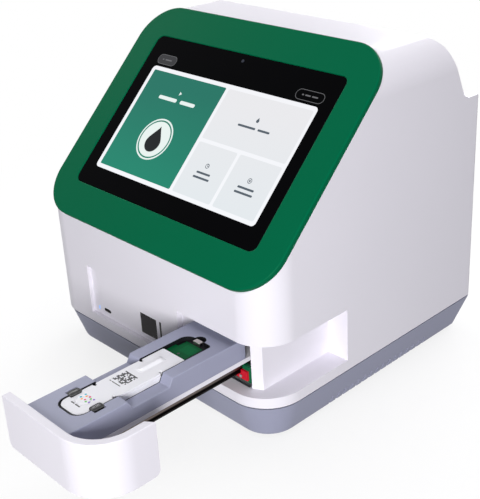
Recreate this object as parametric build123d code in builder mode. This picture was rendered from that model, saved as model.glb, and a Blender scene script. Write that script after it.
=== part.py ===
from build123d import *
import os
from math import acos, cos, pi, radians, sin, tan

# Assay cartridge reader for a laboratory bench, in millimetres.
# The origin is on the bench under the middle of the housing: +X right, +Y back, +Z up.
# The tray is drawn out, as it is when a cartridge is loaded.
os.makedirs("parts", exist_ok=True)

# Housing
body_width = 300.0
body_depth = 280.0
wall = 3.0
corner_radius = 34.0
rear_corner_radius = 5.0
foot_proud = 2.0
base_height = 32.4
base_inset = 10.5
base_corner_radius = 37.0
base_floor = 3.0
base_edge_radius = 2.5
seam_gap = 1.0
seam_set_back = 1.2
front_rise = 104.5
slope_angle = 45.0
slope_length = 228.7
shoulder_radius = 26.0
rear_slope_angle = 66.0
ledge_drop = 62.1
ledge_depth = 23.6
ledge_radius = 12.0
ledge_edge_radius = 5.0
part_gap = 0.3

# Vent slots along the lower edge of the base
vent_count = 16
vent_pitch = 8.8
vent_width = 3.2
vent_height = 9.0
vent_lean = 11.0
vent_first = 84.0
vent_reach = 6.0

# Screen
bezel_thickness = 5.0
bezel_radius = 39.0
bezel_edge = 1.4
glass_side = 29.4
glass_low = 33.8
glass_high = 33.3
glass_thickness = 2.4
glass_radius = 7.0
glass_gap = 0.4
gasket_thickness = 2.0
lcd_side = 10.6
lcd_end = 10.8
lcd_thickness = 6.5
lcd_gap = 1.0
bracket_sheet = 1.5
bracket_rim = 9.0
lens_radius = 1.6
lens_inset = 6.6

# Recess for the ports, and the pocket that the tray closes into
lip_height = 9.6
pocket_height = 49.5
recess_inset = 62.0
recess_depth = 4.0
pocket_width = 112.4
pocket_depth = 9.7
pocket_wall = 2.5
side_pocket_depth = 22.0
side_pocket_length = 97.0
pillar_face = 13.0
pillar_corner = 17.6
opening_left_reach = 30.0
opening_right_reach = 34.0
opening_headroom = 1.5

# Ports and lights in the recess, placed from the recess's floor
lamp_inset = 7.1
lamp_rise = 6.1
lamp_width = 2.0
lamp_height = 4.0
usb_inset = 20.4
usb_rise = 7.0
usb_width = 10.4
usb_height = 3.6
usb_depth = 8.0
usb_sheet = 0.5
tongue_thickness = 0.8
scan_inset = 42.1
scan_rise = 15.0
scan_width = 23.0
scan_height = 20.5
bar_inset = 25.1
bar_width = 2.8
bar_height = 21.0
window_thickness = 1.5
window_gap = 0.15

# Tray, with its lengths measured back from the front panel's face
tray_travel = 164.5
front_thickness = 7.0
front_gap = 0.8
front_clearance = 1.5
front_height = 46.0
front_radius = 37.0
wing_end = 56.5
wing_mitre = 5.0
front_corner = 5.0
front_edge = 0.8
shelf_length = 10.0
shelf_height = 6.0
shelf_offset = -9.5
shelf_width = 22.5
shelf_screw_spread = 12.0
tray_inset = 65.0
tray_width = 54.0
plate_thickness = 4.0
plate_rise = 21.5
plate_end = 216.5
plate_corner = 4.0
cover_height = 18.5
cover_end = 178.5
cover_edge = 0.8
grip_front = 64.5
grip_back = 99.0
grip_drop = 7.0
grip_step = 4.0
bay_offset = 0.5
bay_width = 29.0
bay_front = 23.0
bay_back = 153.0
bay_radius = 9.0
bay_tight_radius = 2.5
bay_floor = 8.7
deck_start = 127.3
deck_height = 15.5
seat_gap = 0.2
tray_board_start = 128.0
tray_board_end = 148.0
tray_board_width = 23.0
tray_board_offset = -2.0
tray_board_notch = 3.2
tray_board_notch_length = 9.0

# Linear guide
rail_offset = 18.0
rail_width = 12.0
rail_height = 9.0
rail_start = 8.5
rail_groove = 1.8
rail_groove_rise = 2.6
rail_groove_depth = 1.0
rail_screw_pitch = 40.0
rail_screw_head = 3.2
rail_screw_depth = 4.0
carriage_width = 27.0
carriage_height = 12.0
carriage_length = 20.0
carriage_front = 16.0
carriage_web = 6.0
carriage_slack = 0.3
end_cap_length = 4.0
end_cap_width = 31.0
end_cap_height = 15.0
seal_thickness = 2.0
seal_width = 27.5
seal_height = 8.6
seal_rise = 1.0
seal_screw_spread = 13.0
seal_screw_rise = 2.6
seal_head_radius = 1.5
seal_head_height = 0.9
seal_shank_radius = 0.8
carriage_block_width = 20.0
carriage_block_length = 16.0

# Rack and pinion
gear_module = 1.0
pinion_teeth = 20
pinion_width = 9.0
shaft_radius = 2.5
shaft_gap = 0.05
shaft_reach = 8.0
rack_width = 8.0
rack_offset = -17.0
rack_back = 2.5
rack_teeth_ahead = 54
rack_teeth_behind = 3
pressure_angle = 20.0
tooth_addendum = 0.9
tooth_dedendum = 1.25
backlash = 0.3
pinion_y = 38.0
motor_radius = 12.0
motor_length = 40.0
motor_standoff = 4.0
motor_boss_radius = 5.0
motor_bracket_width = 44.0
bracket_foot = 8.0
bracket_headroom = 1.5

# Cartridge and the catches that hold it
cartridge_width = 28.0
cartridge_start = 24.7
cartridge_end = 126.7
cartridge_sink = 0.8
cartridge_lid_height = 2.4
cartridge_body_height = 6.6
cartridge_radius = 8.5
cartridge_rear_radius = 2.0
lid_step = 0.4
port_offset = -1.5
port_start = 41.0
port_radius = 6.5
port_groove = 1.2
port_depth = 0.5
notch_depth = 2.0
notch_length = 3.0
notch_front = 58.5
notch_back = 103.0
boss_start = 93.0
boss_end = 115.0
boss_width = 4.0
boss_height = 1.0
boss_offset = -2.5
catch_centre = 41.5
catch_length = 9.0
catch_width = 5.8
catch_height = 8.0
catch_reach = 3.2
catch_travel = 1.5
catch_gap = 0.5
nose_chamfer = 1.2
clip_start = 149.2
clip_width = 8.0
clip_length = 4.5
clip_sheet = 0.8
clip_height = 2.5
clip_bulge = 5.6

# Inside the housing
chassis_sheet = 2.0
chassis_side = 32.0
chassis_front = 15.0
chassis_back = 30.0
post_radius = 4.0
board_thickness = 1.6
screw_radius = 1.5
screw_head_radius = 2.8
screw_head_height = 1.6
screw_grip = 6.0
cable_slot_width = 30.0
cable_slot_length = 60.0

# Bridge over the tray, and the reading head that stands on it
bridge_front = 62.0
bridge_back = 125.0
bridge_left_reach = 35.0
bridge_right_reach = 31.0
bridge_clearance = 3.0
bridge_flange = 8.0
bridge_screw_inset = 6.0
head_width = 58.0
head_length = 63.0
head_height = 45.0
head_edge = 4.0
snout_radius = 11.5
snout_drop = 2.5
eye_radius = 9.0
eye_depth = 3.0

# Boards
main_board_inset = 95.0
main_board_front_gap = 32.0
main_board_back_gap = 6.0
main_board_width = 100.0
main_board_rise = 8.0
board_post_radius = 3.0
board_post_inset = 6.0
heat_sink_size = 30.0
heat_sink_height = 8.0
fin_count = 5
front_board_lap = 2.0
front_board_inset = 19.6
front_board_height = 36.0
boss_radius = 3.0
front_boss_rise = 30.0
front_boss_spread = 30.0
front_boss_inset = 48.0
module_width = 19.0
module_height = 17.0
sensor_offset = -2.0
sensor_start = 64.0
sensor_width = 6.0
sensor_length = 14.0
sensor_height = 13.0
sensor_slot = 3.0
sensor_slot_depth = 8.0

# Back panel
panel_side = 37.0
panel_height = 104.0
panel_sheet = 2.5
panel_lap = 6.0
panel_centre = 98.0
fan_size = 60.0
fan_depth = 15.0
fan_inset = 40.0
fan_bore = 28.0
fan_tip_gap = 1.0
fan_hub_radius = 13.0
fan_hub_gap = 0.8
fan_pin_radius = 2.0
fan_back_sheet = 2.0
fan_strut = 4.0
fan_corner = 5.0
blade_count = 7
blade_thickness = 1.4
blade_pitch = 35.0
grille_slots = 12
grille_inner = 9.0
grille_width = 4.0
switch_inset = 27.0
switch_width = 15.0
switch_height = 21.0
switch_depth = 12.0
switch_flange = 2.0
switch_wall = 1.3
rocker_gap = 0.45
rocker_angle = 10.0
rocker_rise = 3.0
rocker_depth = 6.0
rocker_sink = 3.5
rocker_pin_radius = 1.0
rocker_pin_length = 0.9
socket_drop = 24.0
io_board_depth = 20.0
io_board_margin = 14.0
lug_width = 6.0
lug_length = 12.0
jack_spacing = 20.0
jack_width = 9.0
jack_height = 11.0
jack_depth = 14.0
jack_bore = 2.8
jack_pin_radius = 1.0
network_spacing = 20.0
network_width = 16.0
network_height = 13.6
network_depth = 16.0
network_hole_width = 11.8
network_hole_height = 7.6
network_hole_depth = 12.0
network_hole_rise = 2.6
usb_a_spacing = 22.0
usb_a_width = 13.2
usb_a_height = 15.8
usb_a_depth = 15.0
usb_a_hole_width = 12.0
usb_a_hole_height = 5.0
usb_a_pitch = 7.4
usb_a_hole_depth = 11.0
usb_a_tongue = 1.8
foot_radius = 9.0
foot_edge = 1.0
foot_sink = 2.0
foot_inset = 38.0
post_side = 50.0
post_front = 44.0
post_back = 50.0

half_width = body_width / 2
front_y = -body_depth / 2
back_y = body_depth / 2
pan_top = foot_proud + base_height
seam_z = pan_top + seam_gap
slope_z = seam_z + front_rise
slope_top_y = front_y + slope_length * cos(radians(slope_angle))
top_z = slope_z + slope_length * sin(radians(slope_angle))
ledge_z = top_z - ledge_drop
ledge_y = back_y - ledge_depth
shoulder_y = ledge_y - ledge_drop / tan(radians(rear_slope_angle))
floor_z = seam_z + lip_height
opening_height = pocket_height - opening_headroom
recess_left = recess_inset - half_width
pocket_left = half_width - pocket_width
tray_centre = half_width - tray_inset
opening_left = tray_centre - opening_left_reach
opening_right = tray_centre + opening_right_reach
side_wall_x = half_width - side_pocket_depth
pocket_back_y = front_y + side_pocket_length
slope = Plane(
    origin=(0, front_y, slope_z),
    x_dir=(1, 0, 0),
    z_dir=(0, -sin(radians(slope_angle)), cos(radians(slope_angle))),
)
slope_axis = Axis(slope.origin, slope.z_dir)
recess_y = front_y + recess_depth
recess_back_y = recess_y + pocket_wall
front_board_y = recess_y + usb_depth
recess_face = Plane.XZ.offset(-recess_y)
lamp_x = recess_left + lamp_inset
usb_x = recess_left + usb_inset
scan_x = pocket_left - scan_inset
bar_x = pocket_left - bar_inset
front_board_left = recess_left - front_board_lap
front_board_right = pocket_left - front_board_inset
front_boss_x = recess_left + front_boss_inset
glass_width = body_width - 2 * glass_side
glass_height = slope_length - glass_low - glass_high
glass_centre = glass_low + glass_height / 2
lens_height = glass_height / 2 - lens_inset
lcd_width = glass_width - 2 * lcd_side
lcd_height = glass_height - 2 * lcd_end
panel_width = body_width - 2 * panel_side
front_boss_z = floor_z + front_boss_rise
front_boss_places = [(front_boss_x + side * front_boss_spread, front_boss_z) for side in (-1, 1)]
panel_screw_x = (panel_width - panel_lap) / 2
panel_screw_z = (panel_height - panel_lap) / 2
panel_screw_places = [
    (x, panel_centre + z) for x in (-panel_screw_x, panel_screw_x) for z in (-panel_screw_z, panel_screw_z)
]


def save(piece, name):
    """Label a finished piece and write it to its own file."""
    piece.part.label = name
    export_step(piece.part, f"parts/{name}.step")


def housing_form(inset, bottom_z):
    """The housing's outer form, or the same form drawn in by a wall."""
    outline = [
        (front_y, bottom_z),
        (front_y, slope_z),
        (slope_top_y, top_z),
        (shoulder_y, top_z),
        (ledge_y, ledge_z),
        (back_y, ledge_z),
        (back_y, bottom_z),
    ]
    with BuildPart() as form:
        with BuildSketch(Plane.YZ) as side:
            with BuildLine():
                Polyline(*outline, close=True)
            make_face()
            fillet(side.vertices().sort_by_distance((shoulder_y, top_z))[0], shoulder_radius)
            fillet(side.vertices().sort_by_distance((ledge_y, ledge_z))[0], ledge_radius)
            fillet(side.vertices().sort_by_distance((back_y, ledge_z))[0], ledge_edge_radius)
            if inset:
                offset(amount=-inset, kind=Kind.INTERSECTION)
        extrude(amount=half_width - inset, both=True)
        with BuildSketch(Plane.XZ) as section:
            with Locations((0, top_z / 2)):
                Rectangle(body_width - 2 * inset, top_z - 2 * inset)
            fillet(section.vertices().group_by(Axis.Y)[-1], corner_radius - inset)
        extrude(amount=body_depth, both=True, mode=Mode.INTERSECT)
        with BuildSketch(Plane.XY) as plan:
            Rectangle(body_width - 2 * inset, body_depth - 2 * inset)
            fillet(plan.vertices().group_by(Axis.Y)[0], corner_radius - inset)
            fillet(plan.vertices().group_by(Axis.Y)[-1], rear_corner_radius - inset)
        extrude(amount=2 * top_z, mode=Mode.INTERSECT)
    return form.part


def pocket_plan(grow):
    """Plan of the tray pocket, or of the wall that wraps round it when grown."""
    return [
        (pocket_left - grow, front_y - wall),
        (pocket_left - grow, front_y + pocket_depth + grow),
        (opening_right - grow, front_y + pocket_depth + grow),
        (opening_right - grow, front_y + pillar_face + 2 * grow),
        (side_wall_x - grow, front_y + pillar_corner + grow),
        (side_wall_x - grow, pocket_back_y + grow),
        (half_width + wall, pocket_back_y + grow),
        (half_width + wall, front_y - wall),
    ]


def corner_waste(x_side, radius, bottom, top):
    """What lies outside a rounded front corner of the plan, between two heights."""
    with BuildPart() as waste:
        with BuildSketch(Plane.XY.offset(bottom)):
            with Locations((x_side * (half_width - radius / 2), front_y + radius / 2)):
                Rectangle(radius, radius)
            with Locations((x_side * (half_width - radius), front_y + radius)):
                Circle(radius, mode=Mode.SUBTRACT)
        extrude(amount=top - bottom)
    return waste.part


# Main cover: a moulded shell with the port recess and the wrap-round tray pocket
outer_form = housing_form(0, seam_z)
inner_form = housing_form(wall, seam_z - 3 * wall)
recess_right = pocket_left
recess_middle = (recess_left + recess_right) / 2
recess_width = recess_right - recess_left
lip_corner = corner_waste(1, base_corner_radius, pan_top, floor_z + lip_height)

with BuildPart() as pocket_shell:
    with BuildSketch(Plane.XY.offset(floor_z - wall)):
        with BuildLine():
            Polyline(*pocket_plan(pocket_wall), close=True)
        make_face()
        with Locations((recess_middle, front_y + (recess_depth + pocket_wall) / 2)):
            Rectangle(recess_width + 2 * pocket_wall, recess_depth + pocket_wall)
    extrude(amount=pocket_height + 2 * wall)
    add(outer_form, mode=Mode.INTERSECT)

with BuildPart() as main_cover:
    add(outer_form)
    add(inner_form, mode=Mode.SUBTRACT)
    add(pocket_shell.part)
    with BuildSketch(Plane.XY.offset(floor_z)):
        with BuildLine():
            Polyline(*pocket_plan(0), close=True)
        make_face()
    extrude(amount=pocket_height, mode=Mode.SUBTRACT)
    with BuildSketch(Plane.XZ.offset(-front_y)) as port_recess:
        with Locations((recess_middle, floor_z + pocket_height / 2)):
            Rectangle(recess_width + part_gap, pocket_height)
    extrude(amount=-recess_depth, mode=Mode.SUBTRACT)
    with BuildSketch(Plane.XZ.offset(-front_y)):
        with Locations(((opening_left + opening_right) / 2, floor_z + opening_height / 2)):
            Rectangle(opening_right - opening_left, opening_height)
    extrude(amount=-(pillar_corner + 2 * wall), mode=Mode.SUBTRACT)
    add(lip_corner, mode=Mode.SUBTRACT)
    # Openings for the lamp, the socket, the reading window and the light bar
    with BuildSketch(Plane.XZ.offset(-front_y)):
        with Locations((lamp_x, floor_z + lamp_rise)):
            Rectangle(lamp_width, lamp_height)
        with Locations((usb_x, floor_z + usb_rise)):
            SlotOverall(usb_width, usb_height)
        with Locations((scan_x, floor_z + scan_rise)):
            Rectangle(scan_width, scan_height)
        with Locations((bar_x, floor_z + scan_rise)):
            Rectangle(bar_width, bar_height)
    extrude(amount=-(recess_depth + 2 * pocket_wall), mode=Mode.SUBTRACT)
    # Opening behind the screen
    with BuildSketch(slope):
        with Locations((0, glass_centre)):
            Rectangle(lcd_width + 2 * lcd_gap, lcd_height + 2 * lcd_gap)
    extrude(amount=2 * wall, both=True, mode=Mode.SUBTRACT)
    # Opening for the back panel
    with BuildSketch(Plane.XZ.offset(-back_y)):
        with Locations((0, panel_centre)):
            RectangleRounded(panel_width - 2 * panel_lap, panel_height - 2 * panel_lap, panel_lap)
    extrude(amount=2 * wall, both=True, mode=Mode.SUBTRACT)
    with BuildSketch(Plane.XZ.offset(-back_y)):
        with Locations(*panel_screw_places):
            Circle(screw_radius + window_gap)
    extrude(amount=wall, mode=Mode.SUBTRACT)
    # Bosses for the board behind the recess
    with BuildSketch(Plane.XZ.offset(-recess_back_y)):
        with Locations(*front_boss_places):
            Circle(boss_radius)
            Circle(screw_radius + window_gap, mode=Mode.SUBTRACT)
    extrude(amount=-(front_board_y - recess_back_y))
save(main_cover, "main_cover")


def pan_section(height, inset):
    """Outline of the tapered base at a height above the bench, drawn in by a wall."""
    shrink = base_inset * (pan_top - height) / base_height + inset
    with BuildSketch(Plane.XY.offset(height)) as section:
        Rectangle(body_width - 2 * shrink, body_depth - 2 * shrink)
        fillet(section.vertices().group_by(Axis.Y)[0], base_corner_radius - shrink)
        fillet(section.vertices().group_by(Axis.Y)[-1], rear_corner_radius)
    return section.sketch


def ring(low, high, outer_inset, inner_inset):
    """A straight ring that follows the base's outline between two heights."""
    with BuildPart() as band:
        add(pan_section(pan_top, outer_inset).moved(Location((0, 0, low - pan_top))))
        extrude(amount=high - low)
        add(pan_section(pan_top, inner_inset).moved(Location((0, 0, low - pan_top))))
        extrude(amount=high - low, mode=Mode.SUBTRACT)
    return band


# Base pan: a tapered tray with vent slots cut across its lower side edges
pan_floor_z = foot_proud + base_floor
foot_x = half_width - foot_inset
foot_y = back_y - foot_inset
post_x = half_width - post_side
foot_places = [(x, y) for x in (-foot_x, foot_x) for y in (-foot_y, foot_y)]
post_places = [(x, y) for x in (-post_x, post_x) for y in (front_y + post_front, back_y - post_back)]
vent_inner_x = half_width - base_inset - wall - vent_reach / 2

with BuildPart() as base_pan:
    loft(sections=[pan_section(foot_proud, 0), pan_section(pan_top, 0)], ruled=True)
    fillet(base_pan.edges().group_by(Axis.Z)[0], base_edge_radius)
    loft(
        sections=[pan_section(pan_floor_z, wall), pan_section(pan_top, wall)],
        ruled=True,
        mode=Mode.SUBTRACT,
    )
    for side in (-1, 1):
        with BuildSketch(Plane.YZ.offset(side * vent_inner_x)):
            for number in range(vent_count):
                with Locations((front_y + vent_first + number * vent_pitch, foot_proud)):
                    SlotOverall(2 * vent_height, vent_width, rotation=90 - vent_lean)
        extrude(amount=side * (half_width - vent_inner_x), mode=Mode.SUBTRACT)
    with BuildSketch(Plane.XY.offset(foot_proud)):
        with Locations(*foot_places):
            Circle(foot_radius + window_gap)
    extrude(amount=foot_sink, mode=Mode.SUBTRACT)
    with BuildSketch(Plane.XY.offset(foot_proud)):
        with Locations(*post_places):
            Circle(screw_radius + window_gap)
    extrude(amount=base_floor, mode=Mode.SUBTRACT)
    with BuildSketch(Plane.XY.offset(foot_proud)):
        with Locations(*post_places):
            Circle(screw_head_radius + window_gap)
    extrude(amount=screw_head_height, mode=Mode.SUBTRACT)
save(base_pan, "base_pan")

# Black strip in the joint between the cover and the base
seam_strip = ring(pan_top, seam_z, seam_set_back, wall)
save(seam_strip, "seam_strip")

with BuildPart() as rubber_feet:
    with BuildSketch():
        with Locations(*foot_places):
            Circle(foot_radius)
    extrude(amount=foot_proud + foot_sink)
    fillet(rubber_feet.edges().group_by(Axis.Z)[0], foot_edge)
save(rubber_feet, "rubber_feet")

# Screws that come up through the pan into the posts
with BuildPart() as base_screws:
    with BuildSketch(Plane.XY.offset(foot_proud)):
        with Locations(*post_places):
            Circle(screw_head_radius)
    extrude(amount=screw_head_height)
    with BuildSketch(Plane.XY.offset(foot_proud)):
        with Locations(*post_places):
            Circle(screw_radius)
    extrude(amount=base_floor + screw_grip)
save(base_screws, "base_screws")

# Posts that carry the chassis plate
chassis_top = floor_z
chassis_bottom = chassis_top - chassis_sheet
with BuildPart() as chassis_posts:
    with BuildSketch(Plane.XY.offset(pan_floor_z)):
        with Locations(*post_places):
            RegularPolygon(post_radius, 6)
            Circle(screw_radius + window_gap, mode=Mode.SUBTRACT)
    extrude(amount=chassis_bottom - pan_floor_z)
save(chassis_posts, "chassis_posts")

# Chassis plate, with slots for the pinion and the motor
rail_x = tray_centre + rail_offset
rack_x = tray_centre + rack_offset
plate_bottom = floor_z + plate_rise
plate_top = plate_bottom + plate_thickness
rail_bottom = plate_bottom - rail_height
pitch_z = plate_bottom - rack_back - tooth_dedendum * gear_module
pinion_radius = gear_module * pinion_teeth / 2
axle_z = pitch_z - pinion_radius
axle_y = front_y + pinion_y
motor_face_x = rack_x - pinion_width / 2 - motor_standoff
motor_bracket_face = motor_face_x + chassis_sheet
chassis_front_y = front_y + chassis_front
chassis_back_y = back_y - chassis_back
chassis_left = chassis_side - half_width
bridge_left = tray_centre - bridge_left_reach
bridge_right = tray_centre + bridge_right_reach
bracket_foot_y = (motor_bracket_width - bracket_foot) / 2
bracket_foot_x = motor_bracket_face - chassis_sheet / 2 - bracket_foot / 2
bridge_y = front_y + bridge_front
bridge_length = bridge_back - bridge_front
bridge_middle_y = bridge_y + bridge_length / 2
bridge_screw_places = [
    (x, bridge_middle_y + side * (bridge_length / 2 - bridge_screw_inset))
    for x in (bridge_left - bridge_flange / 2, bridge_right + bridge_flange / 2)
    for side in (-1, 1)
]
bracket_screw_places = [(bracket_foot_x, axle_y + side * bracket_foot_y) for side in (-1, 1)]
frame_screw_places = bridge_screw_places + bracket_screw_places

with BuildPart() as chassis_plate:
    with BuildSketch(Plane.XY.offset(chassis_bottom)):
        with BuildLine():
            Polyline(
                (chassis_left, chassis_front_y),
                (opening_right - 2 * pocket_wall, chassis_front_y),
                (opening_right - 2 * pocket_wall, front_y + pillar_corner + 2 * pocket_wall),
                (side_wall_x - pocket_wall - part_gap, front_y + pillar_corner + 2 * pocket_wall),
                (side_wall_x - pocket_wall - part_gap, chassis_back_y),
                (chassis_left, chassis_back_y),
                close=True,
            )
        make_face()
        with Locations((rack_x, axle_y)):
            Rectangle(pinion_width + 4 * wall, 2 * (pinion_radius + wall), mode=Mode.SUBTRACT)
        with Locations((motor_face_x - motor_length / 2, axle_y)):
            Rectangle(motor_length + wall, 2 * (motor_radius + wall / 2), mode=Mode.SUBTRACT)
        with Locations(*post_places, *frame_screw_places):
            Circle(screw_radius + window_gap, mode=Mode.SUBTRACT)
        with Locations((-tray_centre, 0)):
            RectangleRounded(cable_slot_width, cable_slot_length, cable_slot_width / 3, mode=Mode.SUBTRACT)
    extrude(amount=chassis_sheet)
save(chassis_plate, "chassis_plate")

# Screws into the posts, and through the feet of the motor bracket and the bridge
chassis_screw_length = chassis_sheet + screw_grip
foot_top = chassis_top + chassis_sheet
with BuildPart() as chassis_screws:
    with BuildSketch(Plane.XY.offset(chassis_top)):
        with Locations(*post_places):
            Circle(screw_head_radius)
    extrude(amount=screw_head_height)
    with BuildSketch(Plane.XY.offset(chassis_top)):
        with Locations(*post_places):
            Circle(screw_radius)
    extrude(amount=-chassis_screw_length)
    with BuildSketch(Plane.XY.offset(foot_top)):
        with Locations(*frame_screw_places):
            Circle(screw_head_radius)
    extrude(amount=screw_head_height)
    with BuildSketch(Plane.XY.offset(foot_top)):
        with Locations(*frame_screw_places):
            Circle(screw_radius)
    extrude(amount=-chassis_screw_length)
save(chassis_screws, "chassis_screws")

# Screen: bezel, glass, foam frame, display panel and its bracket, all on the slope
bezel_middle = slope_length / 2
with BuildPart() as screen_bezel:
    with BuildSketch(slope):
        with Locations((0, bezel_middle)):
            RectangleRounded(body_width, slope_length, bezel_radius)
    extrude(amount=bezel_thickness)
    fillet(faces().sort_by(slope_axis)[-1].edges(), bezel_edge)
    with BuildSketch(slope):
        with Locations((0, glass_centre)):
            RectangleRounded(
                glass_width + 2 * glass_gap, glass_height + 2 * glass_gap, glass_radius + glass_gap
            )
    extrude(amount=bezel_thickness, mode=Mode.SUBTRACT)
    inner_edges = faces().sort_by(slope_axis)[-1].inner_wires()[0].edges()
    chamfer(inner_edges, glass_gap)
save(screen_bezel, "screen_bezel")

glass_plane = slope.offset(gasket_thickness)
with BuildPart() as screen_glass:
    with BuildSketch(glass_plane):
        with Locations((0, glass_centre)):
            RectangleRounded(glass_width, glass_height, glass_radius)
            with Locations((0, lens_height)):
                Circle(lens_radius + window_gap, mode=Mode.SUBTRACT)
    extrude(amount=glass_thickness)
save(screen_glass, "screen_glass")

with BuildPart() as camera_lens:
    with BuildSketch(slope):
        with Locations((0, glass_centre + lens_height)):
            Circle(lens_radius)
    extrude(amount=gasket_thickness + glass_thickness)
save(camera_lens, "camera_lens")

with BuildPart() as glass_gasket:
    with BuildSketch(slope):
        with Locations((0, glass_centre)):
            RectangleRounded(glass_width - 2 * glass_gap, glass_height - 2 * glass_gap, glass_radius)
            Rectangle(lcd_width + 2 * lcd_gap, lcd_height + 2 * lcd_gap, mode=Mode.SUBTRACT)
            with Locations((0, lens_height)):
                Circle(lens_radius + window_gap, mode=Mode.SUBTRACT)
    extrude(amount=gasket_thickness)
save(glass_gasket, "glass_gasket")

with BuildPart() as display_panel:
    with BuildSketch(glass_plane):
        with Locations((0, glass_centre)):
            Rectangle(lcd_width, lcd_height)
    extrude(amount=-lcd_thickness)
save(display_panel, "display_panel")

bracket_plane = glass_plane.offset(-lcd_thickness)
with BuildPart() as display_bracket:
    with BuildSketch(bracket_plane):
        with Locations((0, glass_centre)):
            Rectangle(lcd_width + 2 * bracket_rim, lcd_height + 2 * bracket_rim)
    extrude(amount=-bracket_sheet)
    with BuildSketch(bracket_plane):
        with Locations((0, glass_centre)):
            Rectangle(lcd_width + 2 * bracket_rim, lcd_height + 2 * bracket_rim)
            Rectangle(lcd_width + 2 * lcd_gap, lcd_height + 2 * lcd_gap, mode=Mode.SUBTRACT)
    extrude(amount=lcd_thickness - gasket_thickness - wall)
save(display_bracket, "display_bracket")


# Parts behind the port recess
scan_z = floor_z + scan_rise

with BuildPart() as status_lamp:
    with BuildSketch(recess_face):
        with Locations((lamp_x, floor_z + lamp_rise)):
            RectangleRounded(lamp_width - 2 * window_gap, lamp_height - 2 * window_gap, lamp_width / 3)
    extrude(amount=-usb_depth)
save(status_lamp, "status_lamp")

with BuildPart() as usb_socket:
    with BuildSketch(recess_face):
        with Locations((usb_x, floor_z + usb_rise)):
            SlotOverall(usb_width - 2 * window_gap, usb_height - 2 * window_gap)
    extrude(amount=-usb_depth)
    with BuildSketch(recess_face):
        with Locations((usb_x, floor_z + usb_rise)):
            SlotOverall(usb_width - 2 * usb_sheet, usb_height - 2 * usb_sheet)
            Rectangle(usb_width - 4 * usb_sheet - 2 * usb_height / 3, tongue_thickness, mode=Mode.SUBTRACT)
    extrude(amount=-(usb_depth - 2 * usb_sheet), mode=Mode.SUBTRACT)
save(usb_socket, "usb_socket")

with BuildPart() as scan_window:
    with BuildSketch(recess_face):
        with Locations((scan_x, scan_z)):
            Rectangle(scan_width - 2 * window_gap, scan_height - 2 * window_gap)
    extrude(amount=-window_thickness)
    with BuildSketch(recess_face.offset(-window_thickness)):
        with Locations((scan_x, scan_z)):
            Rectangle(scan_width - wall, scan_height - wall)
    extrude(amount=-(pocket_wall - window_thickness))
save(scan_window, "scan_window")

with BuildPart() as light_bar:
    with BuildSketch(recess_face):
        with Locations((bar_x, scan_z)):
            Rectangle(bar_width - 2 * window_gap, bar_height - 2 * window_gap)
    extrude(amount=-usb_depth)
save(light_bar, "light_bar")

with BuildPart() as scan_module:
    with BuildSketch(Plane.XZ.offset(-recess_back_y)):
        with Locations((scan_x, scan_z)):
            RectangleRounded(module_width, module_height, wall)
    extrude(amount=-(front_board_y - recess_back_y))
save(scan_module, "scan_module")

with BuildPart() as front_board:
    with BuildSketch(Plane.XZ.offset(-front_board_y)):
        with Locations(((front_board_left + front_board_right) / 2, floor_z + front_board_height / 2)):
            Rectangle(front_board_right - front_board_left, front_board_height)
        with Locations(*front_boss_places):
            Circle(screw_radius + window_gap, mode=Mode.SUBTRACT)
    extrude(amount=-board_thickness)
save(front_board, "front_board")

# Tray: front panel with its wing, plate, cover, black bay frame and board
tray_y = front_y - tray_travel
corner_x = half_width - front_radius
wing_x = half_width - front_thickness
plate_front_y = tray_y + front_thickness
cover_top = plate_top + cover_height
front_bottom = floor_z + front_clearance
front_left = pocket_left + front_gap
shelf_centre = tray_centre + shelf_offset
tray_screw_places = [
    (shelf_centre + side * shelf_screw_spread / 2, plate_front_y + shelf_length / 2) for side in (-1, 1)
]

with BuildPart() as tray_front:
    with BuildSketch(Plane.XY.offset(front_bottom)):
        with BuildLine():
            Line((front_left, tray_y), (corner_x, tray_y))
            TangentArc((corner_x, tray_y), (half_width, tray_y + front_radius), tangent=(1, 0))
            Line((half_width, tray_y + front_radius), (half_width, tray_y + wing_end))
            Line((half_width, tray_y + wing_end), (wing_x, tray_y + wing_end - wing_mitre))
            Line((wing_x, tray_y + wing_end - wing_mitre), (wing_x, tray_y + front_radius))
            TangentArc((wing_x, tray_y + front_radius), (corner_x, plate_front_y), tangent=(0, -1))
            Line((corner_x, plate_front_y), (front_left, plate_front_y))
            Line((front_left, plate_front_y), (front_left, tray_y))
        make_face()
    extrude(amount=front_height)
    bottom_edges = tray_front.edges().group_by(Axis.Z)[0]
    fillet([bottom_edges.sort_by(Axis.X)[0], bottom_edges.sort_by(Axis.Y)[-1]], front_corner)
    fillet(tray_front.edges().group_by(Axis.Z)[-1], front_edge)
    with BuildSketch(Plane.XY.offset(plate_bottom)):
        with Locations((shelf_centre, plate_front_y + shelf_length / 2)):
            Rectangle(shelf_width, shelf_length)
        with Locations(*tray_screw_places):
            Circle(screw_radius + window_gap, mode=Mode.SUBTRACT)
    extrude(amount=-shelf_height)
save(tray_front, "tray_front")

with BuildPart() as tray_plate:
    with BuildSketch(Plane.XY.offset(plate_bottom)) as outline:
        with Locations((tray_centre, (plate_front_y + tray_y + plate_end) / 2)):
            Rectangle(tray_width, plate_end - front_thickness)
        fillet(outline.vertices().group_by(Axis.Y)[-1], plate_corner)
        with Locations(*tray_screw_places):
            Circle(screw_radius + window_gap, mode=Mode.SUBTRACT)
    extrude(amount=plate_thickness)
save(tray_plate, "tray_plate")

with BuildPart() as tray_screws:
    with BuildSketch(Plane.XY.offset(plate_bottom - shelf_height)):
        with Locations(*tray_screw_places):
            Circle(screw_radius)
    extrude(amount=shelf_height + plate_thickness)
    with BuildSketch(Plane.XY.offset(plate_bottom - shelf_height)):
        with Locations(*tray_screw_places):
            Circle(screw_head_radius)
    extrude(amount=-screw_head_height)
save(tray_screws, "tray_screws")

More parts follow.
